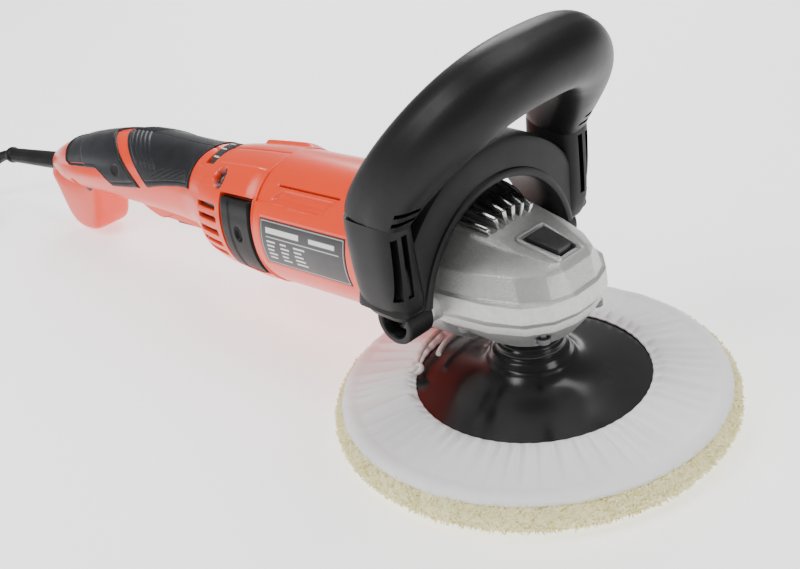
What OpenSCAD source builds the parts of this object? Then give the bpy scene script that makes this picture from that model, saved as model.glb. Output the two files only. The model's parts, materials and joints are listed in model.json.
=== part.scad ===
// Rotary car polisher: bevel gear head, D-handle, rear grip, rubber backing pad with a tied wool bonnet.
// The frame: +X points out of the nose, +Z up, the origin on the spindle axis at the working face.

/* [Bonnet and backing pad] */
// Outer diameter of the wool bonnet
bonnet_d = 198; // [150:1:240]
// Height of the wool rim
bonnet_h = 17; // [14:0.5:26]
// Diameter of the gathered opening in the bonnet's back
bonnet_open_d = 116; // [90:1:140]
// Thickness of the cloth that backs the wool
cloth_t = 1.6; // [1:0.1:3]
// Outer diameter of the rubber backing pad
pad_d = 178; // [140:1:220]
// Height of the pad's underside above the working face
pad_z = 12; // [9:0.5:20]
// Thickness of the pad at its rim
pad_rim_t = 5; // [3:0.5:8]
// Diameter of the pad's rubber neck
neck_d = 33; // [30:0.5:40]
// Height of the top of the neck
neck_z = 46.5; // [40:0.5:47]
// Diameter of the hub moulded into the rubber
hub_d = 24; // [20:0.5:28]

/* [Gear head] */
// Height of the point where the motor axis meets the spindle axis
axis_z = 79; // [76:1:90]
// Rise of the motor axis towards the nose, in degrees
tilt = 4; // [0:0.5:6]
// Height of the joint between gear housing and bearing cap
seam_z = 67.5; // [66:0.5:69]
// Wall of the gear chamber at the nose
head_wall = 7.6; // [6:0.2:12]
// Teeth on the bevel wheel
wheel_teeth = 38; // [32:1:44]
// Teeth on the pinion
pinion_teeth = 10; // [9:1:12]
// Module of the gears
gear_m = 1.4; // [1.2:0.05:1.5]
// Width of the teeth along the pitch cone
face_w = 8; // [6:0.5:9]
// Thread diameter of the spindle nose
spindle_d = 14; // [12:1:16]
// Bore of the lower spindle bearing
low_bearing_id = 15; // [14:1:17]
// Outer diameter of the lower spindle bearing
low_bearing_od = 35; // [32:1:37]
// Width of the lower spindle bearing
low_bearing_w = 11; // [9:0.5:12]
// Diameter of the steel cover under the lower bearing
dust_d = 39; // [37:0.5:42]
// Travel of the spindle lock button
lock_travel = 4; // [2:0.5:4]

/* [Motor] */
// Outer radius of the motor housing
housing_r = 36.6; // [35.6:0.2:42]
// Wall of the motor housing
housing_wall = 2.8; // [2:0.1:4]
// Distance of the housing's front face behind the spindle axis
housing_front = 46; // [44:1:50]
// Distance of the housing's rear face behind the spindle axis
housing_rear = 158; // [154:1:162]
// Radius of the armature stack
armature_r = 19; // [16:0.5:20]
// Length of the armature stack
stack_len = 50; // [40:1:52]
// Radius of the fan
fan_r = 30; // [26:0.5:31]
// Radius of the commutator
commutator_r = 12; // [10:0.5:14]

/* [Rear handle] */
// Wall of the handle halves
handle_wall = 2.6; // [2:0.1:3.4]
// Half width of the grip
grip_hy = 23; // [21:0.5:26]
// Half height of the grip
grip_hz = 24.5; // [22:0.5:27]
// Thickness of the soft grip skin
skin_t = 1.2; // [0.8:0.1:2]
// Half width of the rear foot
foot_hy = 13; // [12:0.5:17]
// Half width of the trigger
trigger_hy = 6; // [4.5:0.5:6.5]
// Swing of the trigger in degrees
trigger_swing = 6; // [3:0.5:6]
// Radius of the speed dial
dial_r = 19.5; // [18:0.5:20]
// Width of the speed dial
dial_w = 7.5; // [6:0.5:9]

/* [D-handle] */
// Inner radius of the arch over the gear head
arch_ri = 50; // [47:0.5:54]
// Outer radius of the arch
arch_ro = 70; // [64:0.5:74]
// Distance of the leg's outer face from the middle plane
leg_y = 77; // [75:0.5:84]
// Width of a leg
leg_w = 19; // [16:0.5:22]
// Depth of a leg along the tool
leg_depth = 30; // [26:0.5:34]
// Radius of the hand bar
bar_r = 17; // [14:0.5:19]
// Height of the hand bar above the top of the legs
bar_rise = 70; // [60:1:80]
// Wall of the hand bar
bar_wall = 3; // [2.4:0.2:4]
// Diameter of the handle bolts
bolt_d = 8; // [6:1:10]

/* [Lead] */
// Diameter of the mains lead
cord_d = 7.5; // [6.5:0.1:8.5]

/* [Hidden] */

$fn = 64;
eps = 0.01;
gap = 0.3;          // clearance between pieces that move past each other
run_gap = 0.04;     // radial clearance of a journal in its bearing

// gears: two pitch cones that meet at the crossing point of the axes
shaft_angle = 90 - tilt;
gear_ratio = wheel_teeth / pinion_teeth;
pinion_cone = atan2(sin(shaft_angle), gear_ratio + cos(shaft_angle));
wheel_cone = shaft_angle - pinion_cone;
wheel_r = gear_m * wheel_teeth / 2;
pinion_r = gear_m * pinion_teeth / 2;
cone_len = wheel_r / sin(wheel_cone);
addendum = 0.85 * gear_m;
dedendum = 1.15 * gear_m;
wheel_pitch_z = axis_z - cone_len * cos(wheel_cone);
wheel_base_z = wheel_pitch_z - 7.5;
wheel_web_z = wheel_pitch_z - 2.5;
wheel_hub_r = 11;
pinion_bore_r = 3;
lock_pcr = 16;
lock_pin_r = 2;
lock_holes = 12;
seat_r = low_bearing_id / 2 - 0.5;
chamber_r = wheel_r + 2;
nose_r = chamber_r + head_wall;

// spindle stack
low_bearing_z = wheel_base_z - 0.5 - low_bearing_w;
dust_t = 2.3;
dust_z = low_bearing_z - dust_t;
collar_r = low_bearing_id / 2 + 2;
bush_ri = 5;
bush_ro = 8;
bush_w = 9;
bush_z = axis_z + 5;
lock_x = lock_pcr;
button_z = axis_z + 16.5;
thread_z = pad_z + 11;

// pad and bonnet profiles, [radius, height] from the rim inwards
pad_r = pad_d / 2;
bonnet_r = bonnet_d / 2;
open_r = bonnet_open_d / 2;
neck_r = neck_d / 2;
pad_top = [[pad_r, pad_z + pad_rim_t], [60, pad_z + 8], [42, pad_z + 11.5], [30, pad_z + 15],
  [23, pad_z + 19.5], [19, pad_z + 25], [neck_r, pad_z + 30], [neck_r, neck_z]];
function on_pad(r, i = 0) = r >= pad_top[i + 1][0] ? pad_top[i][1] + (pad_top[i][0] - r)
  * (pad_top[i + 1][1] - pad_top[i][1]) / (pad_top[i][0] - pad_top[i + 1][0]) : on_pad(r, i + 1);
function arc(cx, cy, r, a0, a1, n = 8) = [for (i = [0:n]) let (a = a0 + (a1 - a0) * i / n)
  [cx + r * cos(a), cy + r * sin(a)]];

// motor, positions behind the spindle axis along the motor axis
housing_ri = housing_r - housing_wall;
front_bearing_x = housing_front - 8;
front_bearing_r = 14;
shaft_r = 5;
front_journal_r = 6;
rear_journal_r = 4;
fan_x = housing_front + 4;
baffle_x = fan_x + 12;
stack_x = baffle_x + 10;
stack_end = stack_x + stack_len;
stator_ro = housing_ri - 1.2;
stator_ri = armature_r + 0.6;
brush_x = housing_rear + 16;
commutator_x = brush_x - 12;
commutator_end = brush_x + 12;
rear_bearing_x = commutator_end + 7;
rear_bearing_r = 11;
carrier_r = housing_ri - 2.4;

// rear handle stations: [distance behind the axis, middle height, half width, half height]
cowl_r = housing_r - 0.4;
stations = [[housing_rear, 0, cowl_r, cowl_r], [175, 0, cowl_r - 0.6, cowl_r - 0.8],
  [200, 0, cowl_r - 2.2, cowl_r - 2.6], [216, 0.5, cowl_r - 4.6, cowl_r - 5],
  [228, 2.5, cowl_r - 8.5, cowl_r - 8.5], [240, 4.5, grip_hy + 1, grip_hz + 0.5],
  [262, 5.5, grip_hy, grip_hz], [290, 6.5, grip_hy, grip_hz], [312, 6.2, grip_hy, grip_hz - 0.8],
  [336, 5, grip_hy - 0.8, grip_hz - 2.2], [358, 3.2, grip_hy - 1.6, grip_hz - 4],
  [382, 0.5, grip_hy - 3.4, grip_hz - 6.2], [402, -2, grip_hy - 6, grip_hz - 9],
  [417, -4.5, grip_hy - 10, grip_hz - 12.5], [427, -6.5, grip_hy - 14, grip_hz - 15.5]];
handle_end = stations[len(stations) - 1][0];
exit_z = -6.5;
exit_r = 6.4;
arc_points = 14;
round_n = 2.2;
cover_half = 14;
dial_x = 217;
dial_z = 13.5;
trigger_front = 243;
trigger_back = 287;
pin_x = trigger_front + 3;
pin_z = -14;
pin_r = 1.5;
switch_z = -3.5;
lever_hy = 13;
screw_spots = [[196.5, 25], [315, 11], [374, -12]];
screw_r = 1.7;
boss_r = 4.6;

// D-handle
arch_z = axis_z - 9;
leg_mid = -27;
leg_top = arch_z + 55;
boss_z = arch_z + 1.5;
handle_boss_r = 13;
head_boss_y = 45;
rake = 0.7;
bar_rings = 36;
lug_y = head_boss_y + gap;

// lead: boot direction, route and coil
boot_start = [-426, 0, 42.4];
boot_end = [-488, -9, 38];
coil_c = [-500, -97];
tie_t = 1.2;
coil_in = 3.9 * cord_d;
coil_out = coil_in + 3 * cord_d;
cord_route = [[-488, -9, 38], [-498, -10.8, 35.4], [-507.5, -14.5, 30], [-516, -20.5, 23], [-524, -29, 16],
  [-531.5, -40, 10.5], [-538, -53, 7], [-543, -67, 5.4], [-546.5, -82, 5], [-548, -97, 5]];
tail_route = [[-500, -145, 20], [-488, -145.2, 19.6], [-476, -145.8, 18], [-464, -146.6, 15.6],
  [-453, -147.4, 13.7], [-444, -148, 13]];
plug_x = -444;
plug_y = -148;
plug_z = 13;
string_d = 3;
string_route = [[-46, -35, 25], [-52, -27, 25.6], [-57, -17, 25.6], [-60, -6, 25.6], [-61, 5, 25.6],
  [-60, 15, 25.6], [-56, 22.5, 25.6], [-49.5, 24, 26.4], [-45.5, 18.5, 27.6], [-47, 9, 27.6],
  [-49, -1, 27.4], [-48, -11, 27.2], [-44, -20.5, 27]];

module in_line() { translate([0, 0, axis_z]) rotate([0, -tilt, 0]) children(); }
module back_rod(x0, x1, r, r2 = -1) {
  translate([-x1, 0, 0]) rotate([0, 90, 0]) cylinder(h = x1 - x0, r1 = r2 < 0 ? r : r2, r2 = r);
}
module back_tube(x0, x1, ri, ro) { difference() { back_rod(x0, x1, ro); back_rod(x0 - 1, x1 + 1, ri); } }
module back_turned(points) { rotate([0, -90, 0]) rotate_extrude() polygon(points); }
module side_rod(y0, y1, r) { translate([0, y1, 0]) rotate([90, 0, 0]) cylinder(h = y1 - y0, r = r); }
module back_sector(x0, x1, ri, ro, a0, a1) {
  rotate([0, -90, 0]) rotate([0, 0, a0]) rotate_extrude(angle = a1 - a0)
    translate([ri, x0]) square([ro - ri, x1 - x0]);
}

// a many-sided shell kept as one mesh; its bores are cut outside it
module shell() { resize([0, 0, 0]) union() { children(); } }
function flat(l) = [for (a = l) each a];
// a closed skin over rings of equal length
function skin_faces(n, m) = concat([[for (i = [0:n - 1]) i]],
  [for (j = [0:m - 2]) for (i = [0:n - 1]) let (k = (i + 1) % n)
    each [[j * n + k, j * n + i, (j + 1) * n + i], [j * n + k, (j + 1) * n + i, (j + 1) * n + k]]],
  [[for (i = [n - 1:-1:0]) (m - 1) * n + i]]);
module skin(rings) { polyhedron(flat(rings), skin_faces(len(rings[0]), len(rings)), convexity = 6); }
// the same with its last ring joined to its first, for a turned shape with teeth
module turned_skin(rings) {
  n = len(rings[0]);
  m = len(rings);
  polyhedron(flat(rings), [for (j = [0:m - 1]) for (i = [0:n - 1]) let (k = (i + 1) % n, q = (j + 1) % m)
    each [[j * n + k, j * n + i, q * n + i], [j * n + k, q * n + i, q * n + k]]], convexity = 10);
}

function spow(v, n) = sign(v) * pow(abs(v), 2 / n);
function oval(s, grow, a) = [-s[0], (s[2] + grow) * spow(cos(a), round_n),
  s[1] + (s[3] + grow) * spow(sin(a), round_n)];
function half_ring(s, a0, a1, g0, g1, n = arc_points) = concat(
  [for (i = [n:-1:0]) oval(s, g1, a0 + (a1 - a0) * i / n)],
  [for (i = [0:n]) oval(s, g0, a0 + (a1 - a0) * i / n)]);
function full_ring(s, grow, n = arc_points) = concat([for (i = [n:-1:0]) oval(s, grow, -90 + 180 * i / n)],
  [[-s[0], -2, s[1] - (s[3] + grow) * 0.98], [-s[0], -2, s[1] + (s[3] + grow) * 0.98]]);
function station_at(x, i = 0) = x <= stations[i + 1][0] || i == len(stations) - 2
  ? let (t = (x - stations[i][0]) / (stations[i + 1][0] - stations[i][0]))
    stations[i] * (1 - t) + stations[i + 1] * t
  : station_at(x, i + 1);

// ---- gear head ----
module sym_ring(half, z) { for (p = half) for (s = [-1, 1]) translate([p[0], s * p[1], z]) cube(eps * 2, center = true); }
function reach(half, grow) = [for (p = half) [p[0] + (p[0] > 0 ? grow : 0), p[1] + grow]];
grow_head = nose_r - 36.2;
rear_x = -34;
ring0 = reach([[34.5, 6], [31, 17.5], [22, 28], [6, 35], [-14, 38], [rear_x, 39]], grow_head);
ring1 = reach([[37, 7], [33, 19.5], [23, 30.5], [6, 36.5], [-14, 39], [rear_x, 40]], grow_head);
ring2 = reach([[35.5, 7.5], [31.5, 18.5], [20, 29], [-2, 35], [-18, 39], [rear_x, 40]], grow_head);
ring3 = reach([[31, 9], [26, 15], [12, 23], [-5, 30], [-20, 34], [rear_x, 36]], grow_head);
top_z = axis_z + 20;
module top_plate() {
  for (p = [[29, 9.5, -4.5], [4, 19, 0.5], [-20, 22, 5], [rear_x, 24, 7]]) for (s = [-1, 1])
    translate([p[0], s * p[1], top_z + p[2]]) cube(eps * 2, center = true);
}
module gear_housing() {
  color("silver") difference() {
    union() {
      hull() { sym_ring(ring0, seam_z + eps); sym_ring(ring1, seam_z + 4.5); }
      hull() { sym_ring(ring1, seam_z + 4.5); sym_ring(ring2, seam_z + 13); }
      hull() { sym_ring(ring2, seam_z + 13); sym_ring(ring3, seam_z + 23.5); }
      hull() { sym_ring(ring3, seam_z + 23.5); top_plate(); }
      in_line() back_rod(-rear_x - 10, housing_front, housing_r + 2.4);
      for (s = [-1, 1]) translate([leg_mid, 0, boss_z]) side_rod(s > 0 ? 30 : -head_boss_y, s > 0 ? head_boss_y : -30, 9);
    }
    translate([0, 0, seam_z - 12]) cylinder(h = 12 + axis_z + 4 - seam_z, r = chamber_r);
    translate([0, 0, bush_z]) cylinder(h = bush_w, r = bush_ro);
    translate([0, 0, axis_z]) cylinder(h = bush_z + 1 - axis_z, r = bush_ri + 1);
    translate([lock_x, 0, axis_z]) cylinder(h = 40, r = lock_pin_r + gap);
    translate([lock_x - 9.5, -7.2, button_z - 7]) cube([20.2, 14.4, 30]);
    in_line() {
      back_rod(10, housing_front, pinion_r + 4);
      back_rod(front_bearing_x, housing_front + 1, front_bearing_r);
      for (a = [-2:2]) rotate([a * 13, 0, 0]) translate([-housing_front - 1, -2.2, 30]) cube([housing_front - 24, 4.4, 6.5]);
      for (p = head_screw_spots) translate([0, p[0], p[1]]) {
        back_rod(10, housing_front + 1, screw_r + 0.9);
        back_rod(10, 37, 4.8);
      }
    }
    for (s = [-1, 1]) translate([leg_mid, 0, boss_z]) side_rod(s > 0 ? 31.5 : -60, s > 0 ? 60 : -31.5, bolt_d / 2 - 0.4);
    for (p = cap_screw_spots) translate([p[0], p[1], seam_z - 1]) cylinder(h = 9, r = 1.75);
  }
}
head_screw_spots = [for (s = [-1, 1]) each [[s * 31, 14.5], [s * 24, -24]]];
cap_screw_spots = [for (s = [-1, 1]) each [[25.5, s * 19.6], [-12, s * 31]]];
cap_low_r = dust_d / 2 + 1.6;
module bearing_cap() {
  color("silver") difference() {
    union() {
      hull() {
        for (p = ring0) for (s = [-1, 1]) translate([p[0], s * p[1], seam_z - 0.02]) cube(eps * 2, center = true);
        for (p = ring0) for (s = [-1, 1]) translate([p[0] * 0.985, s * p[1] * 0.985, seam_z - 4]) cube(eps * 2, center = true);
        translate([0, 0, low_bearing_z + 1]) cylinder(h = 1, r = cap_low_r + 4);
      }
      translate([0, 0, dust_z + 0.4]) cylinder(h = 6, r = cap_low_r);
    }
    translate([0, 0, wheel_base_z - 0.6]) cylinder(h = 20, r = chamber_r);
    translate([0, 0, low_bearing_z]) cylinder(h = 20, r = low_bearing_od / 2);
    translate([0, 0, dust_z - 1]) cylinder(h = dust_t + 1, r = dust_d / 2);
    translate([0, 0, dust_z - 1]) cylinder(h = 20, r = low_bearing_od / 2 - 2.5);
    in_line() back_rod(-rear_x - 10.2, housing_front + 9, housing_r + 2.6);
    translate([leg_mid, 0, boss_z]) side_rod(-60, 60, 9.2);
    for (p = cap_screw_spots) translate([p[0], p[1], seam_z - 30]) {
      cylinder(h = 40, r = 2.1);
      cylinder(h = 23, r = 3.7);
    }
  }
}
module ring_bearing(ri, ro, w) {
  color("lightgray") difference() {
    cylinder(h = w, r = ro);
    translate([0, 0, -1]) cylinder(h = w + 2, r = ri);
    for (z = [-1, w - 0.6]) translate([0, 0, z]) difference() {
      cylinder(h = 1.6, r = ro - (ro - ri) * 0.28);
      translate([0, 0, -1]) cylinder(h = 4, r = ri + (ro - ri) * 0.28);
    }
  }
}
module lower_bearing() { translate([0, 0, low_bearing_z]) ring_bearing(low_bearing_id / 2, low_bearing_od / 2, low_bearing_w); }
module dust_cover() {
  color("gainsboro") translate([0, 0, dust_z]) difference() {
    cylinder(h = dust_t, r = dust_d / 2);
    translate([0, 0, -1]) cylinder(h = dust_t + 2, r = collar_r + 0.6);
  }
}
module cap_screws() {
  color("dimgray") for (p = cap_screw_spots) translate([p[0], p[1], seam_z - 7]) {
    cylinder(h = 14.5, r = 1.75);
    translate([0, 0, -2.6]) cylinder(h = 2.6, r = 3.4);
  }
}
module upper_bush() {
  color("darkgoldenrod") translate([0, 0, bush_z]) difference() {
    cylinder(h = bush_w, r = bush_ro);
    translate([0, 0, -1]) cylinder(h = bush_w + 2, r = bush_ri);
  }
}
button_front = 9;
button_half = [7, 4.6];
module spindle_lock_button() {
  color("black") {
    translate([lock_x, 0, button_z]) rotate([0, 11, 0]) linear_extrude(4.4)
      polygon([[-9, -6.6], [button_front, -button_half[1]], [button_front, button_half[1]], [-9, 6.6]]);
    translate([lock_x, 0, wheel_web_z + 1.2]) cylinder(h = button_z + 1.5 - wheel_web_z - 1.2, r = lock_pin_r);
  }
}
module lock_spring() {
  color("silver") for (i = [0:1]) translate([lock_x, 0, axis_z + 10 + i]) rotate_extrude() translate([4, 0]) circle(r = 0.42);
}
module head_screws() {
  color("dimgray") in_line() for (p = head_screw_spots) translate([0, p[0], p[1]]) {
    back_rod(37, housing_front + 14, screw_r + 0.6);
    back_rod(34, 37, 4.2);
  }
}

// ---- motor ----
module motor_housing() {
  r = housing_r;
  color("orangered") in_line() difference() {
    back_turned([[housing_ri, housing_front], [r + 2.4, housing_front], [r + 2.4, housing_front + 5],
      [r + 1.4, housing_front + 12], [r, housing_front + 30], [r, housing_rear - 2],
      [r - 0.8, housing_rear], [housing_ri, housing_rear]]);
    for (p = head_screw_spots) translate([0, p[0], p[1]]) back_rod(housing_front - 1, housing_front + 14.5, screw_r + 0.6);
  }
}
module rating_plate() {
  color("dimgray") in_line() back_sector(housing_rear - 75, housing_rear - 6, housing_r + 0.05, housing_r + 0.6, -108, -67);
}
module front_bearing() { in_line() rotate([0, -90, 0]) translate([0, 0, front_bearing_x]) ring_bearing(front_journal_r, front_bearing_r, 8); }
module rear_bearing() { in_line() rotate([0, -90, 0]) translate([0, 0, rear_bearing_x]) ring_bearing(rear_journal_r, rear_bearing_r, 7); }
module baffle_ring() {
  color("black") in_line() back_turned([[24, baffle_x], [housing_ri - 0.4, baffle_x], [housing_ri - 0.4, baffle_x + 5],
    [housing_ri - 2.4, baffle_x + 5], [housing_ri - 2.4, baffle_x + 2], [24, baffle_x + 2]]);
}
pole = 50;
module stator_core() {
  color("slategray") in_line() difference() {
    back_tube(stack_x, stack_end, stator_ri, stator_ro);
    for (s = [0, 180]) back_sector(stack_x - 1, stack_end + 1, 0, stator_ro - 4, s - 90 - (90 - pole), s - 90 + (90 - pole));
  }
}
module field_coils() {
  ri = stator_ri + 0.8;
  ro = stator_ro - 4.6;
  color("chocolate") in_line() for (s = [0, 180]) rotate([s, 0, 0]) difference() {
    back_sector(stack_x - 5, stack_end + 5, ri, ro, -87, 87);
    back_sector(stack_x - 0.5, stack_end + 0.5, ri - 1, ro + 1, -pole - 2, pole + 2);
  }
}
module brush_carrier() {
  color("black") in_line() difference() {
    back_turned([[carrier_r - 2, housing_rear - 3], [carrier_r, housing_rear - 3], [carrier_r, commutator_end + 3],
      [15, commutator_end + 3], [15, rear_bearing_x + 8], [rear_bearing_r, rear_bearing_x + 8],
      [rear_bearing_r, commutator_end + 1], [carrier_r - 2, commutator_end + 1]]);
    for (s = [-1, 1]) translate([-brush_x - 8, s > 0 ? 15 : -50, -6.5]) cube([16, 35, 13]);
  }
}
brush_in = commutator_r + 0.4;
module each_side() { for (s = [0, 1]) mirror([0, s, 0]) children(); }
module brush_holders() {
  color("goldenrod") in_line() each_side() difference() {
    translate([-brush_x - 7, brush_in + 3, -5.5]) cube([14, 13.6, 11]);
    translate([-brush_x - 5.2, 0, -3.7]) cube([10.4, 28, 7.4]);
  }
}
module carbon_brushes() {
  color("black") in_line() each_side() translate([-brush_x - 5, brush_in, -3.5]) cube([10, 11, 7]);
}
module brush_springs() {
  color("silver") in_line() each_side() for (i = [0:2]) translate([-brush_x, brush_in + 12 + i * 1.5, 0])
    rotate([90, 0, 0]) rotate_extrude() translate([2.4, 0]) circle(r = 0.45, $fn = 16);
}
module brush_cover() { in_line() back_sector(brush_x - cover_half, brush_x + cover_half, cowl_r - 2.4, cowl_r + 0.5, -126, -58); }
module brush_cover_right() { color("black") brush_cover(); }
module brush_cover_left() { color("black") mirror([0, 1, 0]) brush_cover(); }

module armature_shaft() {
  color("silver") in_line() {
    back_rod(front_bearing_x - 1, front_bearing_x + 9, front_journal_r - run_gap);
    back_rod(front_bearing_x + 9, rear_bearing_x - 1, shaft_r);
    back_rod(rear_bearing_x - 1, rear_bearing_x + 7, rear_journal_r - run_gap);
    back_rod(12.5, front_bearing_x, pinion_bore_r);
  }
}
module armature_core() {
  color("slategray") in_line() difference() {
    back_tube(stack_x, stack_end, shaft_r, armature_r);
    for (i = [0:11]) rotate([i * 30, 0, 0]) translate([-stack_end - 1, -1.2, armature_r - 3]) cube([stack_len + 2, 2.4, 5]);
  }
}
module armature_windings() {
  color("chocolate") in_line() {
    back_turned([[shaft_r, stack_x - 8], [14, stack_x - 8], [17, stack_x - 5], [17, stack_x], [shaft_r, stack_x]]);
    back_turned([[shaft_r, stack_end], [17, stack_end], [17, stack_end + 8], [12, stack_end + 15], [shaft_r, stack_end + 15]]);
  }
}
module commutator() { color("peru") in_line() back_tube(commutator_x, commutator_end, shaft_r, commutator_r); }
module cooling_fan() {
  color("dimgray") in_line() {
    back_tube(fan_x, fan_x + 2, shaft_r, fan_r);
    back_tube(fan_x + 2, fan_x + 9, shaft_r, 9);
    difference() {
      for (i = [0:8]) rotate([i * 40, 0, 0]) translate([-fan_x - 9, -0.8, 8]) cube([7.5, 1.6, fan_r - 9]);
      back_rod(fan_x + 2, fan_x + 9.5, 8.8);
    }
  }
}
// tooth outline points around an axis: [distance along the cone, height over the pitch cone] to a turned ring
inner_f = 1 - face_w / cone_len;
function gear_ring(count, r, z, tip_r, tip_z, width, turn = 0) = [for (i = [0:count - 1]) for (q = [-2, -1, 1, 2])
  let (a = (i + turn) * 360 / count + sign(q) * (abs(q) == 2 ? 1.3 : 0.6) * width * 180 / count, t = abs(q) == 1)
  [(t ? tip_r : r) * cos(a), (t ? tip_r : r) * sin(a), t ? tip_z : z]];
function plain_ring(count, r, z, width, turn = 0) = gear_ring(count, r, z, r, z, width, turn);
function tooth_ring(count, cone, f, width, turn = 0) =
  let (r = cone_len * sin(cone), z = cone_len * cos(cone), c = cos(cone), s = sin(cone))
  gear_ring(count, f * (r - dedendum * c), -f * (z + dedendum * s), f * (r + addendum * c), -f * (z - addendum * s), width, turn);
module pinion() {
  n = pinion_teeth;
  w = 0.36;
  root_r = pinion_r - dedendum * cos(pinion_cone);
  x1 = cone_len * cos(pinion_cone);
  back = front_bearing_x - 1.4;
  color("gray") in_line() difference() {
    rotate([0, 90, 0]) turned_skin([plain_ring(n, 2, -back, w), plain_ring(n, root_r, -back, w),
      plain_ring(n, root_r, -x1 - 2, w), tooth_ring(n, pinion_cone, 1, w),
      tooth_ring(n, pinion_cone, inner_f, w), plain_ring(n, 2, -inner_f * x1 - 0.6, w)]);
    back_rod(0, front_bearing_x, pinion_bore_r);
  }
}
module pinion_nut() {
  color("dimgray") in_line() difference() {
    translate([-cone_len + 9.2, 0, 0]) rotate([0, 90, 0]) cylinder(h = 4, r = 5.2, $fn = 6);
    back_rod(0, 40, pinion_bore_r);
  }
}

// ---- spindle and pad ----
module spindle() {
  color("silver") {
    translate([0, 0, thread_z]) cylinder(h = neck_z - thread_z + 1, r = spindle_d / 2);
    translate([0, 0, neck_z + 0.4]) cylinder(h = low_bearing_z - neck_z - 0.4, r = collar_r);
    translate([0, 0, low_bearing_z - 0.5]) cylinder(h = low_bearing_w + 1, r = low_bearing_id / 2 - run_gap);
    translate([0, 0, wheel_base_z]) cylinder(h = axis_z - 2 - wheel_base_z, r = seat_r);
    translate([0, 0, axis_z - 3]) cylinder(h = bush_z + bush_w - axis_z + 2, r = bush_ri - run_gap);
  }
}
module bevel_wheel() {
  n = wheel_teeth;
  w = 0.4;
  t = 0.5;
  root_z = axis_z - cone_len * cos(wheel_cone) - dedendum * sin(wheel_cone);
  root_r = cone_len * sin(wheel_cone) - dedendum * cos(wheel_cone);
  hub_z = wheel_pitch_z - 0.5;
  function z_list(rings) = [for (r = rings) [for (p = r) [p[0], p[1], p[2] + axis_z]]];
  color("gray") difference() {
    turned_skin(concat([for (q = [[4, hub_z], [4, wheel_base_z], [wheel_r - 2, wheel_base_z], [wheel_r, wheel_base_z + 2.5]])
      plain_ring(n, q[0], q[1], w, t)], z_list([tooth_ring(n, wheel_cone, 1, w, t), tooth_ring(n, wheel_cone, inner_f, w, t)]),
      [for (q = [[root_r * inner_f - 0.4, wheel_web_z], [wheel_hub_r, wheel_web_z], [wheel_hub_r, hub_z]]) plain_ring(n, q[0], q[1], w, t)]));
    translate([0, 0, wheel_base_z - 1]) cylinder(h = 30, r = seat_r);
    for (i = [0:lock_holes - 1]) rotate([0, 0, i * 360 / lock_holes])
      translate([lock_pcr, 0, wheel_base_z - 1]) cylinder(h = 30, r = lock_pin_r + 0.8);
  }
}
module backing_pad() {
  color("black") difference() {
    rotate_extrude() polygon(concat([[0, pad_z], [pad_r - 2, pad_z], [pad_r, pad_z + 2]], pad_top, [[0, neck_z]]));
    hub_shape();
  }
}
module hub_shape() {
  translate([0, 0, thread_z - 3]) cylinder(h = neck_z - thread_z + 4, r = hub_d / 2);
  translate([0, 0, thread_z - 3]) cylinder(h = 3, r = hub_d / 2 + 8);
}
module pad_hub() {
  color("dimgray") difference() {
    intersection() { hub_shape(); translate([0, 0, 0]) cylinder(h = neck_z, r = 60); }
    translate([0, 0, thread_z]) cylinder(h = 60, r = spindle_d / 2);
  }
}
wrap_r = bonnet_h / 2;
module bonnet_wool() {
  color("cornsilk") rotate_extrude() polygon(concat([[0, 0]], arc(bonnet_r - wrap_r, wrap_r, wrap_r, -90, 90, 12),
    [[pad_r + 0.6, bonnet_h], [pad_r + 0.6, pad_z - 0.3], [0, pad_z - 0.3]]));
}
module bonnet_cloth() {
  lift = 0.4;
  low = [[bonnet_r - wrap_r - 1, bonnet_h + lift], [pad_r, max(bonnet_h, pad_top[0][1]) + lift], [75, on_pad(75) + lift],
    [open_r + 4, on_pad(open_r + 4) + lift], [open_r, on_pad(open_r) + lift]];
  color("white") rotate_extrude() polygon(concat(low, [for (i = [len(low) - 1:-1:0]) [low[i][0], low[i][1] + cloth_t]]));
}

// a round tube swept along points, with frames that follow the path
function unit(v) = v / norm(v);
function along(p, i) = unit(p[min(i + 1, len(p) - 1)] - p[max(i - 1, 0)]);
function curve_at(p, i, t) = let (a = p[max(i - 1, 0)], b = p[i], c = p[i + 1], d = p[min(i + 2, len(p) - 1)])
  0.5 * (2 * b + (c - a) * t + (2 * a - 5 * b + 4 * c - d) * t * t + (3 * b - a - 3 * c + d) * t * t * t);
function smooth(p, steps) = concat([for (i = [0:len(p) - 2]) for (k = [0:steps - 1]) curve_at(p, i, k / steps)], [p[len(p) - 1]]);
module cord_tube(route, d, steps = 2, sides = 10) {
  path = smooth(route, steps);
  skin([for (i = [0:len(path) - 1]) let (t = along(path, i), u = unit(cross(t, [0, 0, 1])), v = cross(u, t))
    [for (k = [0:sides - 1]) path[i] + d / 2 * (u * cos(360 * k / sides) - v * sin(360 * k / sides))]]);
}
module drawstring() { color("linen") cord_tube(string_route, string_d, 3, 8); }

// ---- rear handle ----
foot_line = [[-338, -6], [-344, -16], [-362, -29], [-383, -41.5], [-399, -47.5], [-408, -48.5], [-413, -45],
  [-422, -20], [-427, -4], [-405, 6], [-360, 6]];
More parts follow.
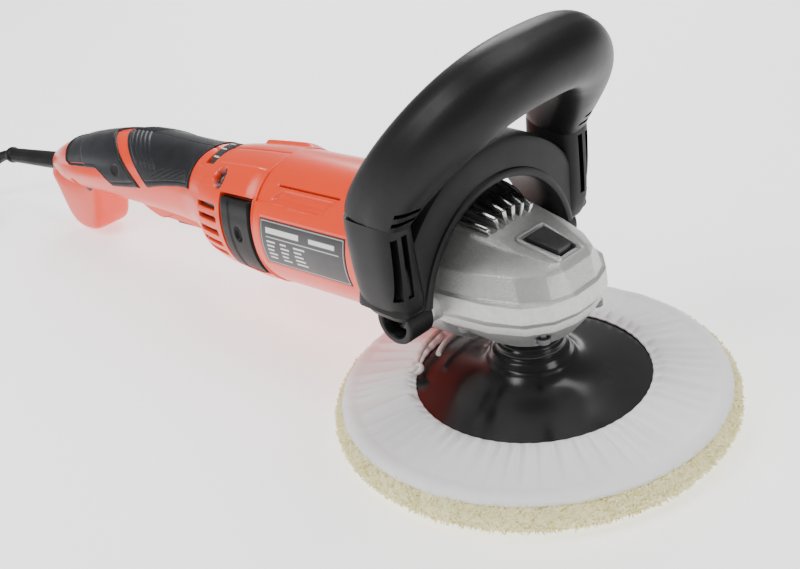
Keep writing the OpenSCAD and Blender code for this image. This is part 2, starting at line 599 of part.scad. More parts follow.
// the foot's lowest corner stands on the floor plane
foot_drop = -axis_z + 408.5 * sin(tilt);
foot_low = foot_drop / cos(tilt);
foot = [for (p = foot_line) [p[0], p[1] < -40 ? max(p[1], foot_low + 0.6) : p[1]]];
web = [[-322, -4], [-312, -14], [-296, -20], [-288.5, -20], [-286, -18.5], [-238, -19.5], [-232, -4]];
module slab(outline, y0, y1) { translate([0, y1, 0]) rotate([90, 0, 0]) linear_extrude(y1 - y0) polygon(outline); }
module half_shell() {
  shell() difference() {
    union() {
      skin([for (s = stations) half_ring(s, -90, 90, -handle_wall, 0)]);
      difference() {
        hull() { slab(foot, 0, foot_hy - 3); slab([for (p = foot) [p[0] * 0.985 - 5.8, p[1] * 0.9]], 0, foot_hy); }
        hull() slab([for (p = foot) [p[0] * 0.9 - 39, p[1] * 0.88]], -1, foot_hy - 5);
        skin([for (s = stations) full_ring(s, -handle_wall + 0.3)]);
      }
      difference() {
        slab(web, 0, lever_hy);
        skin([for (s = stations) full_ring(s, -handle_wall + 0.3)]);
      }
      intersection() {
        skin([for (s = [stations[13], stations[14]]) half_ring(s, -90, 90, -9, 0)]);
        back_rod(handle_end - 4, handle_end, 30);
      }
      intersection() {
        for (p = screw_spots) translate([-p[0], 0, p[1]]) side_rod(0, 50, boss_r);
        skin([for (s = stations) full_ring(s, -0.6)]);
      }
    }
    translate([-trigger_back - 0.8, -1, -40]) cube([trigger_back - trigger_front + 1.6, trigger_hy + 1.4, 40]);
    translate([-dial_x - dial_w / 2 - 1, -1, 14]) cube([dial_w + 2, 18.6, 40]);
    for (i = [0:4]) translate([-214, 20, -17 + i * 6.3]) rotate([0, -5, 0]) cube([21, 30, 3]);
    back_sector(brush_x - cover_half - 0.3, brush_x + cover_half + 0.3, cowl_r - 6, cowl_r + 9, 57.7, 126.3);
  }
}
module half_hollow() {
  difference() {
    half_shell();
    translate([0, 0, exit_z]) back_rod(handle_end - 12, handle_end + 3, exit_r + 0.3);
    translate([-pin_x, 0, pin_z]) side_rod(-1, 9, pin_r);
    for (p = screw_spots) translate([-p[0], 0, p[1]]) side_rod(-1, 15, screw_r);
  }
}
module handle_left() {
  color("orangered") in_line() difference() {
    half_hollow();
    translate([-lock_on_x, 0, pin_z + 1]) side_rod(6, 60, 4.3);
  }
}
module handle_right() {
  color("orangered") in_line() difference() {
    mirror([0, 1, 0]) half_hollow();
    for (p = screw_spots) translate([-p[0], 0, p[1]]) side_rod(-60, -12, 3.6);
  }
}
lock_on_x = 262;
// a skin over one side of the grip: its front and rear edges slant from the low edge to the top
module saddle(front0, front1, rear0, rear1, low0, low1) {
  n = 12;
  function spot(t, i, grow) = let (a = low0 + (low1 - low0) * t, u = a + (90 - a) * i / n,
    x = (front0 + (front1 - front0) * u / 90) * (1 - t) + (rear0 + (rear1 - rear0) * u / 90) * t) oval(station_at(x), grow, u);
  shell() skin([for (j = [0:n]) concat([for (i = [n:-1:0]) spot(j / n, i, skin_t)], [for (i = [0:n]) spot(j / n, i, 0.06)])]);
}
module front_saddle() { saddle(231, 231, 280, 322, 20, -1); }
module rear_saddle() {
  difference() {
    saddle(291, 330, 398, 398, -5, 11);
    for (p = screw_spots) translate([-p[0], 0, p[1]]) side_rod(0, 60, 3.8);
  }
}
module front_grip_left() { color("black") in_line() front_saddle(); }
module front_grip_right() { color("black") in_line() mirror([0, 1, 0]) front_saddle(); }
module rear_grip_left() { color("black") in_line() rear_saddle(); }
module rear_grip_right() { color("black") in_line() mirror([0, 1, 0]) rear_saddle(); }
module handle_screws() {
  color("dimgray") in_line() for (p = screw_spots) translate([-p[0], 0, p[1]]) {
    side_rod(-12, 12, screw_r);
    side_rod(-14.6, -12, 3.2);
  }
}
module trigger() {
  color("black") in_line() difference() {
    slab([[-trigger_back, -10.5], [-trigger_back, -24.5], [-trigger_back + 3, -26], [-trigger_front - 20, -25.5],
      [-trigger_front - 1, -22.5], [-trigger_front, -20], [-trigger_front, -10.5]], -trigger_hy, trigger_hy);
    translate([-pin_x, 0, pin_z]) side_rod(-20, 20, pin_r + 0.04);
  }
}
module trigger_pin() { color("silver") in_line() translate([-pin_x, 0, pin_z]) side_rod(-8.8, 8.8, pin_r); }
module switch_body() {
  color("dimgray") in_line() translate([-trigger_back + 4, -9, switch_z]) cube([34, 18, 19]);
}
module lock_on_button() {
  color("black") in_line() translate([-lock_on_x, 0, pin_z + 1]) {
    side_rod(lever_hy - 3, lever_hy + 8, 3.6);
    side_rod(lever_hy - 4, lever_hy - 3, 3);
  }
}
module speed_dial() {
  color("black") in_line() translate([0, 0, dial_z]) difference() {
    back_rod(dial_x - dial_w / 2, dial_x + dial_w / 2, dial_r);
    back_rod(dial_x - dial_w, dial_x + dial_w, 3 + run_gap);
    for (i = [0:17]) rotate([i * 20, 0, 0]) translate([-dial_x - dial_w, -0.6, dial_r - 0.6]) cube([dial_w * 2, 1.2, 2]);
  }
}
module speed_controller() {
  color("green") in_line() {
    translate([-dial_x - dial_w / 2 - 13.4, -11, 1]) cube([12, 22, 20]);
    translate([0, 0, dial_z]) back_rod(dial_x - dial_w / 2 - 1, dial_x + dial_w / 2 + 1.5, 3);
  }
}
module capacitor() { color("goldenrod") in_line() translate([-352, -6, -9]) cube([18, 12, 10]); }
module cord_clamp() {
  color("black") in_line() difference() {
    translate([-398, -9, exit_z - 6]) cube([9, 18, 3.4]);
    for (s = [-1, 1]) translate([-393.5, s * 6, exit_z - 7]) cylinder(h = 8, r = 1.5);
  }
}

// ---- lead ----
module strain_relief() {
  axis = boot_end - boot_start;
  color("black") {
    translate(boot_end) rotate([0, acos(-axis[2] / norm(axis)), atan2(-axis[1], -axis[0])])
      cylinder(h = norm(axis), r1 = cord_d / 2 + 1.6, r2 = exit_r - 0.2);
    in_line() translate([0, 0, exit_z]) back_rod(handle_end - 9, handle_end + 2.4, exit_r - 0.2);
  }
}
module power_cord() { color("black") cord_tube(cord_route, cord_d, 4, 10); }
module cord_coil() {
  color("black") translate([coil_c[0], coil_c[1], tie_t]) rotate_extrude() polygon([[coil_in, 0], [coil_out, 0],
    [coil_out, 3 * cord_d], [coil_out - cord_d, 3 * cord_d], [coil_out - cord_d, 2 * cord_d], [coil_in, 2 * cord_d]]);
}
module cord_tail() { color("black") cord_tube(tail_route, cord_d, 3, 10); }
module coil_tie() {
  w = 3 * cord_d;
  color("dimgray") translate([coil_c[0], coil_c[1], 0]) rotate([0, 0, 120]) translate([coil_in - tie_t - 0.9, -6, 0]) difference() {
    cube([w + 2 * tie_t + 1.2, 12, w + 2 * tie_t]);
    translate([tie_t, -1, tie_t - 0.05]) cube([w + 1.2, 14, w + 0.1]);
  }
}
module mains_plug() {
  color("black") translate([plug_x, plug_y, plug_z]) {
    rotate([0, 90, 0]) cylinder(h = 24, r1 = cord_d / 2 + 1.2, r2 = 7.5);
    hull() {
      translate([23, -12, -11]) cube([1, 24, 22]);
      translate([34, -17.5, -13]) cube([22, 35, 26]);
    }
  }
  color("silver") translate([plug_x, plug_y, plug_z]) for (s = [-1, 1]) translate([55, s * 9.5, 0])
    rotate([0, 90, 0]) cylinder(h = 20, r = 2.4);
}

// ---- D-handle ----
// the bar's middle line, raked forward above the legs; a runs from 0 at one leg to 180 at the other
function bar_mid(a) = let (h = bar_rise * pow(sin(a), 0.8))
  [leg_mid + rake * h * h / (h + 12), (leg_y - leg_w / 2) * spow(cos(a), 2.6), leg_top + 0.82 * h];
function bar_frame(a) = let (t = unit(bar_mid(min(a + 2, 180)) - bar_mid(max(a - 2, 0))),
  out = bar_mid(a) - [leg_mid + 14 * sin(a), 0, leg_top - 4], n = unit(out - t * (out * t)))
  [t, n, cross(t, n)];
function bar_size(a) = let (k = min(1, pow(sin(a), 0.7) * 1.25))
  [leg_w / 2 * (1 - k) + (bar_r - 0.4) * k, leg_depth / 2 * (1 - k) + bar_r * k];
function bar_ring(a, side) = let (f = bar_frame(a), s = bar_size(a), m = bar_mid(a), n = 9) concat(
  [for (i = [0:n]) let (u = 180 * i / n) m + f[1] * s[0] * cos(u) + f[2] * side * s[1] * sin(u)],
  [for (i = [n:-1:0]) let (u = 180 * i / n) m + f[1] * (s[0] - bar_wall) * cos(u) + f[2] * side * (s[1] - bar_wall) * sin(u)]);
module bar_half(side) {
  list = [for (i = [0:bar_rings]) bar_ring(180 * i / bar_rings, side)];
  skin(side < 0 ? [for (r = list) [for (k = [len(r) - 1:-1:0]) r[k]]] : list);
}
module leg_side() {
  polygon(concat([[leg_mid - leg_depth / 2, leg_top + 1], [leg_mid + leg_depth / 2, leg_top + 1],
    [leg_mid + leg_depth / 2, boss_z + 15], [leg_mid + handle_boss_r, boss_z], [leg_mid - handle_boss_r, boss_z],
    [leg_mid - leg_depth / 2, boss_z + 12]]));
  translate([leg_mid, boss_z]) circle(r = handle_boss_r);
}
module arch_part() {
  rotate([90, 0, 90]) linear_extrude(leg_depth) difference() {
    circle(r = arch_ro, $fn = 96);
    circle(r = arch_ri, $fn = 96);
    translate([-100, -100]) square([200, 112]);
  }
}
module d_part(x0, x1) {
  intersection() {
    union() {
      translate([leg_mid - leg_depth / 2, 0, arch_z]) arch_part();
      each_side() {
        translate([0, leg_y, 0]) rotate([90, 0, 0]) linear_extrude(leg_w) leg_side();
        translate([leg_mid, 0, boss_z]) side_rod(lug_y, leg_y - leg_w + 1, 11);
      }
    }
    translate([x0, -120, 0]) cube([x1 - x0, 240, 160]);
  }
}
module leg_bores() {
  each_side() translate([leg_mid, 0, boss_z]) {
    side_rod(leg_y - 12.5, leg_y + 8, 8.3);
    side_rod(lug_y - 4, leg_y - 12, bolt_d / 2 + 0.3);
  }
}
module leg_slots() {
  each_side() for (y = [leg_y - 6.5, leg_y - 15])
    translate([leg_mid + leg_depth / 2 - 8, y - 1.6, boss_z + 19]) cube([10, 3.2, 34]);
}
module d_handle_front() {
  color("black") difference() {
    shell() {
      difference() { d_part(leg_mid, 0); leg_slots(); }
      bar_half(-1);
    }
    leg_bores();
  }
}
module d_handle_rear() {
  color("black") difference() {
    shell() {
      d_part(-60, leg_mid - 0.05);
      bar_half(1);
    }
    leg_bores();
  }
}
module d_handle_bolts() {
  color("silver") each_side() translate([leg_mid, 0, boss_z]) {
    side_rod(32, leg_y - 12, bolt_d / 2 - 0.4);
    side_rod(leg_y - 12.5, leg_y - 6, 6.5);
  }
}

gear_housing();
bearing_cap();
lower_bearing();
dust_cover();
cap_screws();
upper_bush();
spindle_lock_button();
lock_spring();
head_screws();
motor_housing();
rating_plate();
front_bearing();
rear_bearing();
baffle_ring();
stator_core();
field_coils();
brush_carrier();
brush_holders();
carbon_brushes();
brush_springs();
brush_cover_right();
brush_cover_left();
armature_shaft();
armature_core();
armature_windings();
commutator();
cooling_fan();
pinion();
pinion_nut();
spindle();
bevel_wheel();
backing_pad();
pad_hub();
bonnet_wool();
bonnet_cloth();
drawstring();
handle_right();
handle_left();
front_grip_right();
front_grip_left();
rear_grip_right();
rear_grip_left();
handle_screws();
trigger();
trigger_pin();
switch_body();
lock_on_button();
speed_dial();
speed_controller();
capacitor();
cord_clamp();
strain_relief();
power_cord();
cord_coil();
cord_tail();
coil_tie();
mains_plug();
d_handle_front();
d_handle_rear();
d_handle_bolts();
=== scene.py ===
import json
import math
import bpy
import bmesh
import numpy as np
from mathutils import Matrix, Vector, noise

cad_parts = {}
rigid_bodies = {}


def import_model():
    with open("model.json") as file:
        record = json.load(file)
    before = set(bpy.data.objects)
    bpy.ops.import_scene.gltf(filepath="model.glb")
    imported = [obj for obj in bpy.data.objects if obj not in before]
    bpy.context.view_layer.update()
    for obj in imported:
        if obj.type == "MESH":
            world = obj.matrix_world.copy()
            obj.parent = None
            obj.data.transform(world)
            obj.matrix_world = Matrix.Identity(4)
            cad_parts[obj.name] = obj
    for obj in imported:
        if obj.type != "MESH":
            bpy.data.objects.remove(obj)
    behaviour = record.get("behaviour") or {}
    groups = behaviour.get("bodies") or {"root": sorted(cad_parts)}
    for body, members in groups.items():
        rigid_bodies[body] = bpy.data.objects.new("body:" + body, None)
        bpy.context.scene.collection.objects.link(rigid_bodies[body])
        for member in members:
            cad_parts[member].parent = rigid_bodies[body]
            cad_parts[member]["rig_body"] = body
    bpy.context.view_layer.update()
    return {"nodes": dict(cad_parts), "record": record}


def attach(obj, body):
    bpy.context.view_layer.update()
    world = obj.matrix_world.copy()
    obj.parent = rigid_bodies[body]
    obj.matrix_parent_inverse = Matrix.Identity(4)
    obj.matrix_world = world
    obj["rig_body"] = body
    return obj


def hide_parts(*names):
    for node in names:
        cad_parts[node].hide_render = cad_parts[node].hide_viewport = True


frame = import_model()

mm = 0.001
bothSides = ((-1, "right"), (1, "left"))
nodesByName = frame["nodes"]
scene = bpy.context.scene


def addObject(name, data):
    thing = bpy.data.objects.new(name, data)
    scene.collection.objects.link(thing)
    return thing


def lookCamera():
    look = {"place": (0.3364, -0.3762, 0.3555), "lens": 55.08}
    right, up = Vector((0.7074, 0.6959, -0.1241)), Vector((-0.2630, 0.4221, 0.8676))
    back = right.cross(up).normalized()
    camera = addObject("camera", bpy.data.cameras.new("camera"))
    camera.data.lens, camera.data.sensor_width = look["lens"], 36
    camera.data.clip_start = 0.02
    turn = Matrix((right.normalized(), back.cross(right).normalized(), back)).transposed()
    camera.matrix_world = Matrix.Translation(look["place"]) @ turn.to_4x4()
    scene.camera = camera


lookCamera()
print("camera set")


# per slot: colour, colour and scale of its darker patches, roughness range, grain scale and strength, the rest
finishes = {
    "cast": ((0.56, 0.56, 0.55), (0.5, 0.5, 0.49), 420, (0.38, 0.46), 1700, 0.3, dict(metal=0.75, cells=True)),
    "steel": ((0.62, 0.62, 0.61), (0.42, 0.42, 0.42), 40, (0.14, 0.3), 900, 0.06, dict(metal=1.0, turned=True)),
    "dark_steel": ((0.16, 0.16, 0.165), (0.08, 0.08, 0.085), 60, (0.28, 0.45), 900, 0.1, dict(metal=0.9)),
    "bronze": ((0.46, 0.27, 0.09), (0.28, 0.15, 0.05), 70, (0.25, 0.42), 800, 0.1, dict(metal=1.0)),
    "orange_shell": ((0.9, 0.05, 0.003), (0.85, 0.043, 0.0025), 14, (0.3, 0.4), 2600, 0.05, dict(coat=0.25)),
    "black_shell": ((0.009, 0.009, 0.0096), (0.005, 0.005, 0.0053), 25, (0.36, 0.48), 2200, 0.14,
                    dict(cells=True, gloss=0.2)),
    "soft_grip": ((0.022, 0.023, 0.027), (0.012, 0.012, 0.014), 30, (0.34, 0.5), 2000, 0.1, dict(gloss=0.2)),
    "pad_rubber": ((0.011, 0.011, 0.012), (0.006, 0.006, 0.0065), 18, (0.13, 0.3), 700, 0.05,
                   dict(coat=0.15, gloss=0.35)),
    "cord_rubber": ((0.016, 0.016, 0.017), (0.009, 0.009, 0.01), 40, (0.38, 0.52), 1200, 0.08, dict(gloss=0.2)),
    "wool": ((0.95, 0.9, 0.56), (0.9, 0.83, 0.45), 120, (0.85, 0.95), 1400, 0.45, dict(sheen=0.5)),
    "cloth": ((0.93, 0.925, 0.93), (0.88, 0.875, 0.885), 26, (0.78, 0.92), 420, 0.35, dict(sheen=0.3, weave=True)),
    "string": ((0.84, 0.82, 0.78), (0.64, 0.6, 0.56), 300, (0.7, 0.85), 1500, 0.5, dict(sheen=0.2)),
    "label": ((0.045, 0.045, 0.047), (0.03, 0.03, 0.032), 40, (0.28, 0.4), 900, 0.04, {}),
    "lamination": ((0.2, 0.21, 0.22), (0.1, 0.1, 0.11), 30, (0.35, 0.55), 1600, 0.3, dict(metal=0.9)),
    "copper": ((0.5, 0.17, 0.05), (0.28, 0.08, 0.025), 200, (0.25, 0.4), 1300, 0.4, dict(metal=1.0)),
    "commutator": ((0.6, 0.27, 0.12), (0.36, 0.15, 0.06), 160, (0.2, 0.38), 1200, 0.15, dict(metal=1.0)),
    "carbon": ((0.02, 0.02, 0.021), (0.01, 0.01, 0.01), 200, (0.55, 0.75), 1500, 0.25, {}),
    "brass": ((0.62, 0.43, 0.14), (0.4, 0.26, 0.08), 60, (0.2, 0.36), 900, 0.08, dict(metal=1.0)),
    "board": ((0.02, 0.12, 0.05), (0.012, 0.07, 0.03), 180, (0.35, 0.5), 1200, 0.15, {}),
    "nylon": ((0.05, 0.05, 0.052), (0.03, 0.03, 0.031), 50, (0.4, 0.55), 1300, 0.12, {}),
    "film": ((0.6, 0.42, 0.07), (0.45, 0.3, 0.05), 70, (0.2, 0.35), 900, 0.06, {}),
}
tints = {"shade": (0.004, 0.004, 0.004, 1), "mark": (0.75, 0.75, 0.74, 1)}  # what each mesh attribute mixes in: shade is painted shade in recesses, slots and holes, mark is printed marks


def nodeAdder(tree):
    def add(kind, links=None, sets=None, **settings):
        node = tree.nodes.new(kind)
        for key, value in settings.items():
            setattr(node, key, value)
        for socket, value in (sets or {}).items():
            node.inputs[socket].default_value = value
        for socket, source in (links or {}).items():
            tree.links.new(source, node.inputs[socket])
        return node
    return add


def makeFinish(name, look):
    colour, deep, patch, rough, grain, lift, more = look
    finish = bpy.data.materials.new(name)
    finish.use_nodes = True
    tree = finish.node_tree
    add = nodeAdder(tree)
    place = add("ShaderNodeTexCoord").outputs["Object"]
    if more.get("turned"):
        place = add("ShaderNodeMapping", {"Vector": place}, {"Scale": (1, 1, 14)}).outputs["Vector"]
    patches = add("ShaderNodeTexNoise", {"Vector": place}, {"Scale": patch, "Detail": 4.0, "Roughness": 0.6})
    height = add("ShaderNodeTexNoise", {"Vector": place}, {"Scale": grain, "Detail": 2.0}).outputs["Fac"]
    ramp = add("ShaderNodeValToRGB", {"Fac": patches.outputs["Fac"]})
    for stop, position, tone in zip(ramp.color_ramp.elements, (0.32, 0.62), (deep, colour)):
        stop.position, stop.color = position, (*tone, 1)
    colour = ramp.outputs["Color"]
    # the shade attribute darkens the colour towards black as painted shade
    for attribute, tint in tints.items():
        amount = add("ShaderNodeAttribute", attribute_name=attribute).outputs["Fac"]
        colour = add("ShaderNodeMix", {0: amount, 6: colour}, {7: tint}, data_type="RGBA").outputs[2]
    wear = add("ShaderNodeMapRange", {"Value": patches.outputs["Fac"]},
               {"From Min": 0.3, "From Max": 0.7, "To Min": rough[1], "To Max": rough[0]})
    extra = None
    if more.get("cells"):
        extra = add("ShaderNodeTexVoronoi", {"Vector": place}, {"Scale": grain * 0.7}).outputs["Distance"]
    if more.get("weave"):  # threads follow the sheet's own UV map
        spot = add("ShaderNodeUVMap", uv_map="threads").outputs["UV"]
        warp, weft = [add("ShaderNodeTexWave", {"Vector": spot}, {"Scale": scale, "Distortion": 0.6},
                          bands_direction=way).outputs["Fac"] for way, scale in (("X", 260.0), ("Y", 30.0))]
        extra = add("ShaderNodeMath", {0: warp, 1: weft}, operation="MULTIPLY").outputs[0]
    if extra:
        height = add("ShaderNodeMath", {0: height, 1: extra}, operation="ADD").outputs[0]
    relief = add("ShaderNodeBump", {"Height": height}, {"Strength": lift, "Distance": 0.0003})
    shader = tree.nodes["Principled BSDF"]
    results = {"Base Color": colour, "Roughness": wear.outputs["Result"], "Normal": relief.outputs["Normal"]}
    for socket, source in results.items():
        tree.links.new(source, shader.inputs[socket])
    for socket, value in (("Metallic", more.get("metal", 0.0)), ("Coat Weight", more.get("coat", 0.0)),
                          ("Coat Roughness", 0.18), ("Sheen Weight", more.get("sheen", 0.0)),
                          ("Specular IOR Level", more.get("gloss", 0.5))):
        shader.inputs[socket].default_value = value
    return finish


finishOf = {name: makeFinish(name, look) for name, look in finishes.items()}
slotOfNode = {part["node"]: part["material_slot"] for part in frame["record"]["subparts"]}
for nodeName, thing in nodesByName.items():
    thing.data.materials.clear()
    thing.data.materials.append(finishOf[slotOfNode[nodeName]])
print("finishes made for", len(slotOfNode), "nodes")


def makePiece(name, verts, faces, finish, body, replaced=(), smooth=35, weld=True, turnOut=True,
              attributes=None):
    mesh = bpy.data.meshes.new(name)
    mesh.from_pydata([tuple(v) for v in verts], [], [tuple(f) for f in faces])
    for key, values in (attributes or {}).items():
        layer = mesh.attributes.new(key, "FLOAT", "POINT")
        layer.data.foreach_set("value", np.asarray(values, np.float32))
    bm = bmesh.new()
    bm.from_mesh(mesh)
    if weld:
        bmesh.ops.remove_doubles(bm, verts=bm.verts, dist=2e-6)
        bmesh.ops.dissolve_degenerate(bm, edges=bm.edges, dist=1e-7)
    if turnOut:
        bmesh.ops.recalc_face_normals(bm, faces=bm.faces)
    bm.to_mesh(mesh)
    bm.free()
    piece = addObject(name, mesh)
    mesh.materials.append(finishOf[finish])
    smoothPiece(piece, smooth)
    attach(piece, body)
    if replaced:
        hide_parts(*replaced)
    return piece


def smoothPiece(piece, angle):
    mesh = piece.data
    mesh.polygons.foreach_set("use_smooth", [True] * len(mesh.polygons))
    mesh.set_sharp_from_angle(angle=math.radians(angle))


def gridFaces(rows, columns, tube=False, ring=False):
    faces = []
    for i in range(rows if ring else rows - 1):
        for j in range(columns if tube else columns - 1):
            a, b = (i + 1) % rows, (j + 1) % columns
            faces.append((i * columns + j, i * columns + b, a * columns + b, a * columns + j))
    return faces


def cappedFaces(rows, columns):
    first = (rows - 1) * columns
    return gridFaces(rows, columns, True) + [tuple(range(columns)), tuple(range(first, first + columns))]


def bakeModifiers(piece):
    bpy.context.view_layer.update()
    graph = bpy.context.evaluated_depsgraph_get()
    baked = bpy.data.meshes.new_from_object(piece.evaluated_get(graph), preserve_all_data_layers=True,
                                            depsgraph=graph)
    piece.modifiers.clear()
    piece.data = baked


def cutFrom(piece, cutters):
    for cutter in cutters:
        cut = piece.modifiers.new("cut", "BOOLEAN")
        cut.operation, cut.object, cut.solver = "DIFFERENCE", cutter, "EXACT"
    bakeModifiers(piece)
    for cutter in cutters:
        bpy.data.objects.remove(cutter)


def cutterBox(low, high):
    verts = [Vector([(low, high)[(i >> k) & 1][k] for k in range(3)]) * mm for i in range(8)]
    faces = [(0, 2, 3, 1), (4, 5, 7, 6), (0, 1, 5, 4), (2, 6, 7, 3), (0, 4, 6, 2), (1, 3, 7, 5)]
    mesh = bpy.data.meshes.new("cutter")
    mesh.from_pydata([tuple(v) for v in verts], [], faces)
    return addObject("cutter", mesh)


def softCopy(nodeName, width, angle=30, segments=2):
    source = nodesByName[nodeName]
    bm = bmesh.new()
    bm.from_mesh(source.data)
    bmesh.ops.remove_doubles(bm, verts=bm.verts, dist=1e-5)
    bmesh.ops.dissolve_limit(bm, angle_limit=math.radians(3), verts=bm.verts, edges=bm.edges)
    mesh = bpy.data.meshes.new(nodeName + "_edged")
    bm.to_mesh(mesh)
    bm.free()
    piece = addObject(nodeName + "_edged", mesh)
    mesh.materials.append(finishOf[slotOfNode[nodeName]])
    bevel = piece.modifiers.new("edges", "BEVEL")
    bevel.width, bevel.segments, bevel.limit_method = width * mm, segments, "ANGLE"
    bevel.angle_limit = math.radians(angle)
    bevel.harden_normals, bevel.use_clamp_overlap = False, True
    bakeModifiers(piece)
    smoothPiece(piece, 30)
    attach(piece, source["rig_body"])
    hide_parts(nodeName)
    return piece


def ease(low, high, value):
    t = np.clip((np.asarray(value, float) - low) / (high - low), 0, 1)
    return t * t * (3 - 2 * t)


def bump(value, low, high, edge):
    return ease(low - edge, low + edge, value) * (1 - ease(high - edge, high + edge, value))


axisHeight, tiltCos, tiltSin = 79.0, 0.99756, 0.06976  # motor axis over the floor, its tilt of 4 degrees


def motorPoint(x, y, z):
    return Vector(((x * tiltCos - z * tiltSin) * mm, y * mm, (axisHeight + x * tiltSin + z * tiltCos) * mm))


def roundAngles(steps):
    return [2 * math.pi * k / steps for k in range(steps)]


def turnedPiece(name, profile, finish, body, replaced, steps, place=None, smooth=30, attributes=None):
    verts, faces = [], gridFaces(len(profile), steps, True, True)
    for radius, height in profile:
        for a in roundAngles(steps):
            spot = (radius * math.cos(a), radius * math.sin(a), height)
            verts.append(place(*spot) if place else Vector(spot) * mm)
    return makePiece(name, verts, faces, finish, body, replaced, smooth, attributes=attributes)


def smoothLine(points, steps):
    points = [Vector(p) for p in points]
    last, line = len(points) - 1, []
    for i in range(last):
        a, b, c, d = points[max(i - 1, 0)], points[i], points[i + 1], points[min(i + 2, last)]
        for k in range(steps):
            t = k / steps
            bend, twist = 2 * a - 5 * b + 4 * c - d, 3 * b - a - 3 * c + d
            line.append(0.5 * (2 * b + (c - a) * t + bend * t * t + twist * t ** 3))
    line.append(points[last])
    return line


# the lead in mm, and the listed points of its route into the coil and out to the plug
cordLook = {"diameter": 7.5, "coil": (-500.0, -97.0), "radii": (48.0, 40.4, 32.8), "levels": (5.0, 12.6, 20.2),
            "bulge": 2.6, "lastLift": 7.9, "tail": 175}
routeIn = [(-488, -9, 38), (-498, -10.8, 35.4), (-507.5, -14.5, 30), (-516, -20.5, 23), (-524, -29, 16),
           (-531.5, -40, 10.5), (-538, -53, 7), (-543, -67, 5.4), (-546.5, -82, 5)]
routeOut = [(-488, -145.2, 19.8), (-476, -145.8, 18), (-464, -146.6, 15.6), (-453, -147.4, 13.7), (-442, -148, 13)]


def coilPoints():
    outer, middle, inner = cordLook["radii"]
    low, mid, high = cordLook["levels"]
    turns = [(outer, low), (middle, low), (inner, low), (inner, mid), (middle, mid), (outer, mid),
             (middle, high), (inner, high)]
    angle, zone, width = 180, 380, 90  # degrees: the start, the first change of turn, how long a change takes
    last, points = len(turns) - 1, []
    finish = 270 + last * 360
    tailStart = finish - cordLook["tail"]
    while angle <= finish:
        k = 0
        while k < last and angle > zone + 360 * k + width:
            k += 1
        radius, level = turns[k]
        if k < last and angle > zone + 360 * k:
            t = (angle - zone - 360 * k) / width
            nextRadius, nextLevel = turns[k + 1]
            climbs = nextLevel != level
            rise = float(ease(0, 0.75 if climbs else 1, t))
            slide = float(ease(0.3 if climbs else 0, 1, t))
            side = 0
            if climbs:  # the cord leans out of the stack while it climbs
                side = (-1 if radius == inner else 1) * cordLook["bulge"] * math.sin(math.pi * t)
            radius = radius + (nextRadius - radius) * slide + side
            level = level + (nextLevel - level) * rise
        if angle > tailStart:
            t = (angle - tailStart) / cordLook["tail"]
            level += cordLook["lastLift"] * float(ease(0, 0.38, t)) * (1 - float(ease(0.66, 1.0, t)))
            radius += (outer - radius) * float(ease(0.28, 0.86, t))
        a = math.radians(angle)
        x, y = cordLook["coil"]
        points.append((x + radius * math.cos(a), y + radius * math.sin(a), level))
        angle += 10
    return points


def makeCord():
    line = smoothLine(routeIn + coilPoints() + routeOut, 2)
    curve = bpy.data.curves.new("mains_lead", "CURVE")
    curve.dimensions, curve.bevel_depth, curve.bevel_resolution = "3D", cordLook["diameter"] / 2 * mm, 4
    curve.use_fill_caps = True
    spline = curve.splines.new("POLY")
    spline.points.add(len(line) - 1)
    for point, spot in zip(spline.points, line):
        point.co = (*(spot * mm), 1)
    spline.use_smooth = True
    piece = addObject("mains_lead", curve)
    curve.materials.append(finishOf["cord_rubber"])
    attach(piece, "machine")
    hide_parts("power_cord", "cord_coil", "cord_tail")
    plug, tie = softCopy("mains_plug", 2.2, 25, 3), softCopy("coil_tie", 0.5)


stringRoute = [(-46, -35, 25), (-52, -27, 25.6), (-57, -17, 25.6), (-60, -6, 25.6), (-61, 5, 25.6), (-60, 15, 25.6),
               (-56, 22.5, 25.6), (-49.5, 24, 26.4), (-45.5, 18.5, 27.6), (-47, 9, 27.6), (-49, -1, 27.4),
               (-48, -11, 27.2), (-44, -20.5, 27)]


def acrossLine(ahead):
    side = ahead.cross(Vector((0, 0, 1))).normalized()
    return side, side.cross(ahead)


def makeString():
    look = {"diameter": 3.0, "sides": 16, "strands": 3, "pitch": 9.0, "groove": 0.16}
    line = smoothLine(stringRoute, 8)
    verts, travel = [], 0.0
    for i, spot in enumerate(line):
        t = (line[min(i + 1, len(line) - 1)] - line[max(i - 1, 0)]).normalized()
        u, v = acrossLine(t)
        travel += (spot - line[i - 1]).length if i else 0
        for a in roundAngles(look["sides"]):
            lobe = abs(math.sin(look["strands"] * (a / 2 + math.pi * travel / look["pitch"])))
            r = look["diameter"] / 2 - look["groove"] * (1 - lobe)
            verts.append((spot + r * (u * math.cos(a) + v * math.sin(a))) * mm)
    faces = cappedFaces(len(line), look["sides"])
    piece = makePiece("tie_string", verts, faces, "string", "spindle_group", ["drawstring"], 50)
    makeKnot()


def knotSpot(a, radius):
    swell = radius * (1 + 0.45 * math.cos(3 * a))
    return Vector((swell * math.cos(2 * a), swell * math.sin(2 * a), 1.5 * math.sin(3 * a)))


def makeKnot():
    look = {"centre": (-46.5, -34.5, 25.2), "radius": 3.4, "squeeze": 0.62, "tube": 1.5, "rows": 96, "sides": 12}
    verts = []
    for a in roundAngles(look["rows"]):
        spot = knotSpot(a, look["radius"])
        t = (knotSpot(a + 0.05, look["radius"]) - spot).normalized()
        u, v = acrossLine(t)
        for b in roundAngles(look["sides"]):
            ring = look["tube"] * (u * math.cos(b) + v * math.sin(b))
            verts.append((Vector(look["centre"]) + spot * look["squeeze"] + ring) * mm)
    return makePiece("string_knot", verts, gridFaces(look["rows"], look["sides"], True, True), "string",
                     "spindle_group", smooth=60, weld=False)


makeCord()
makeString()
print("cords laid")


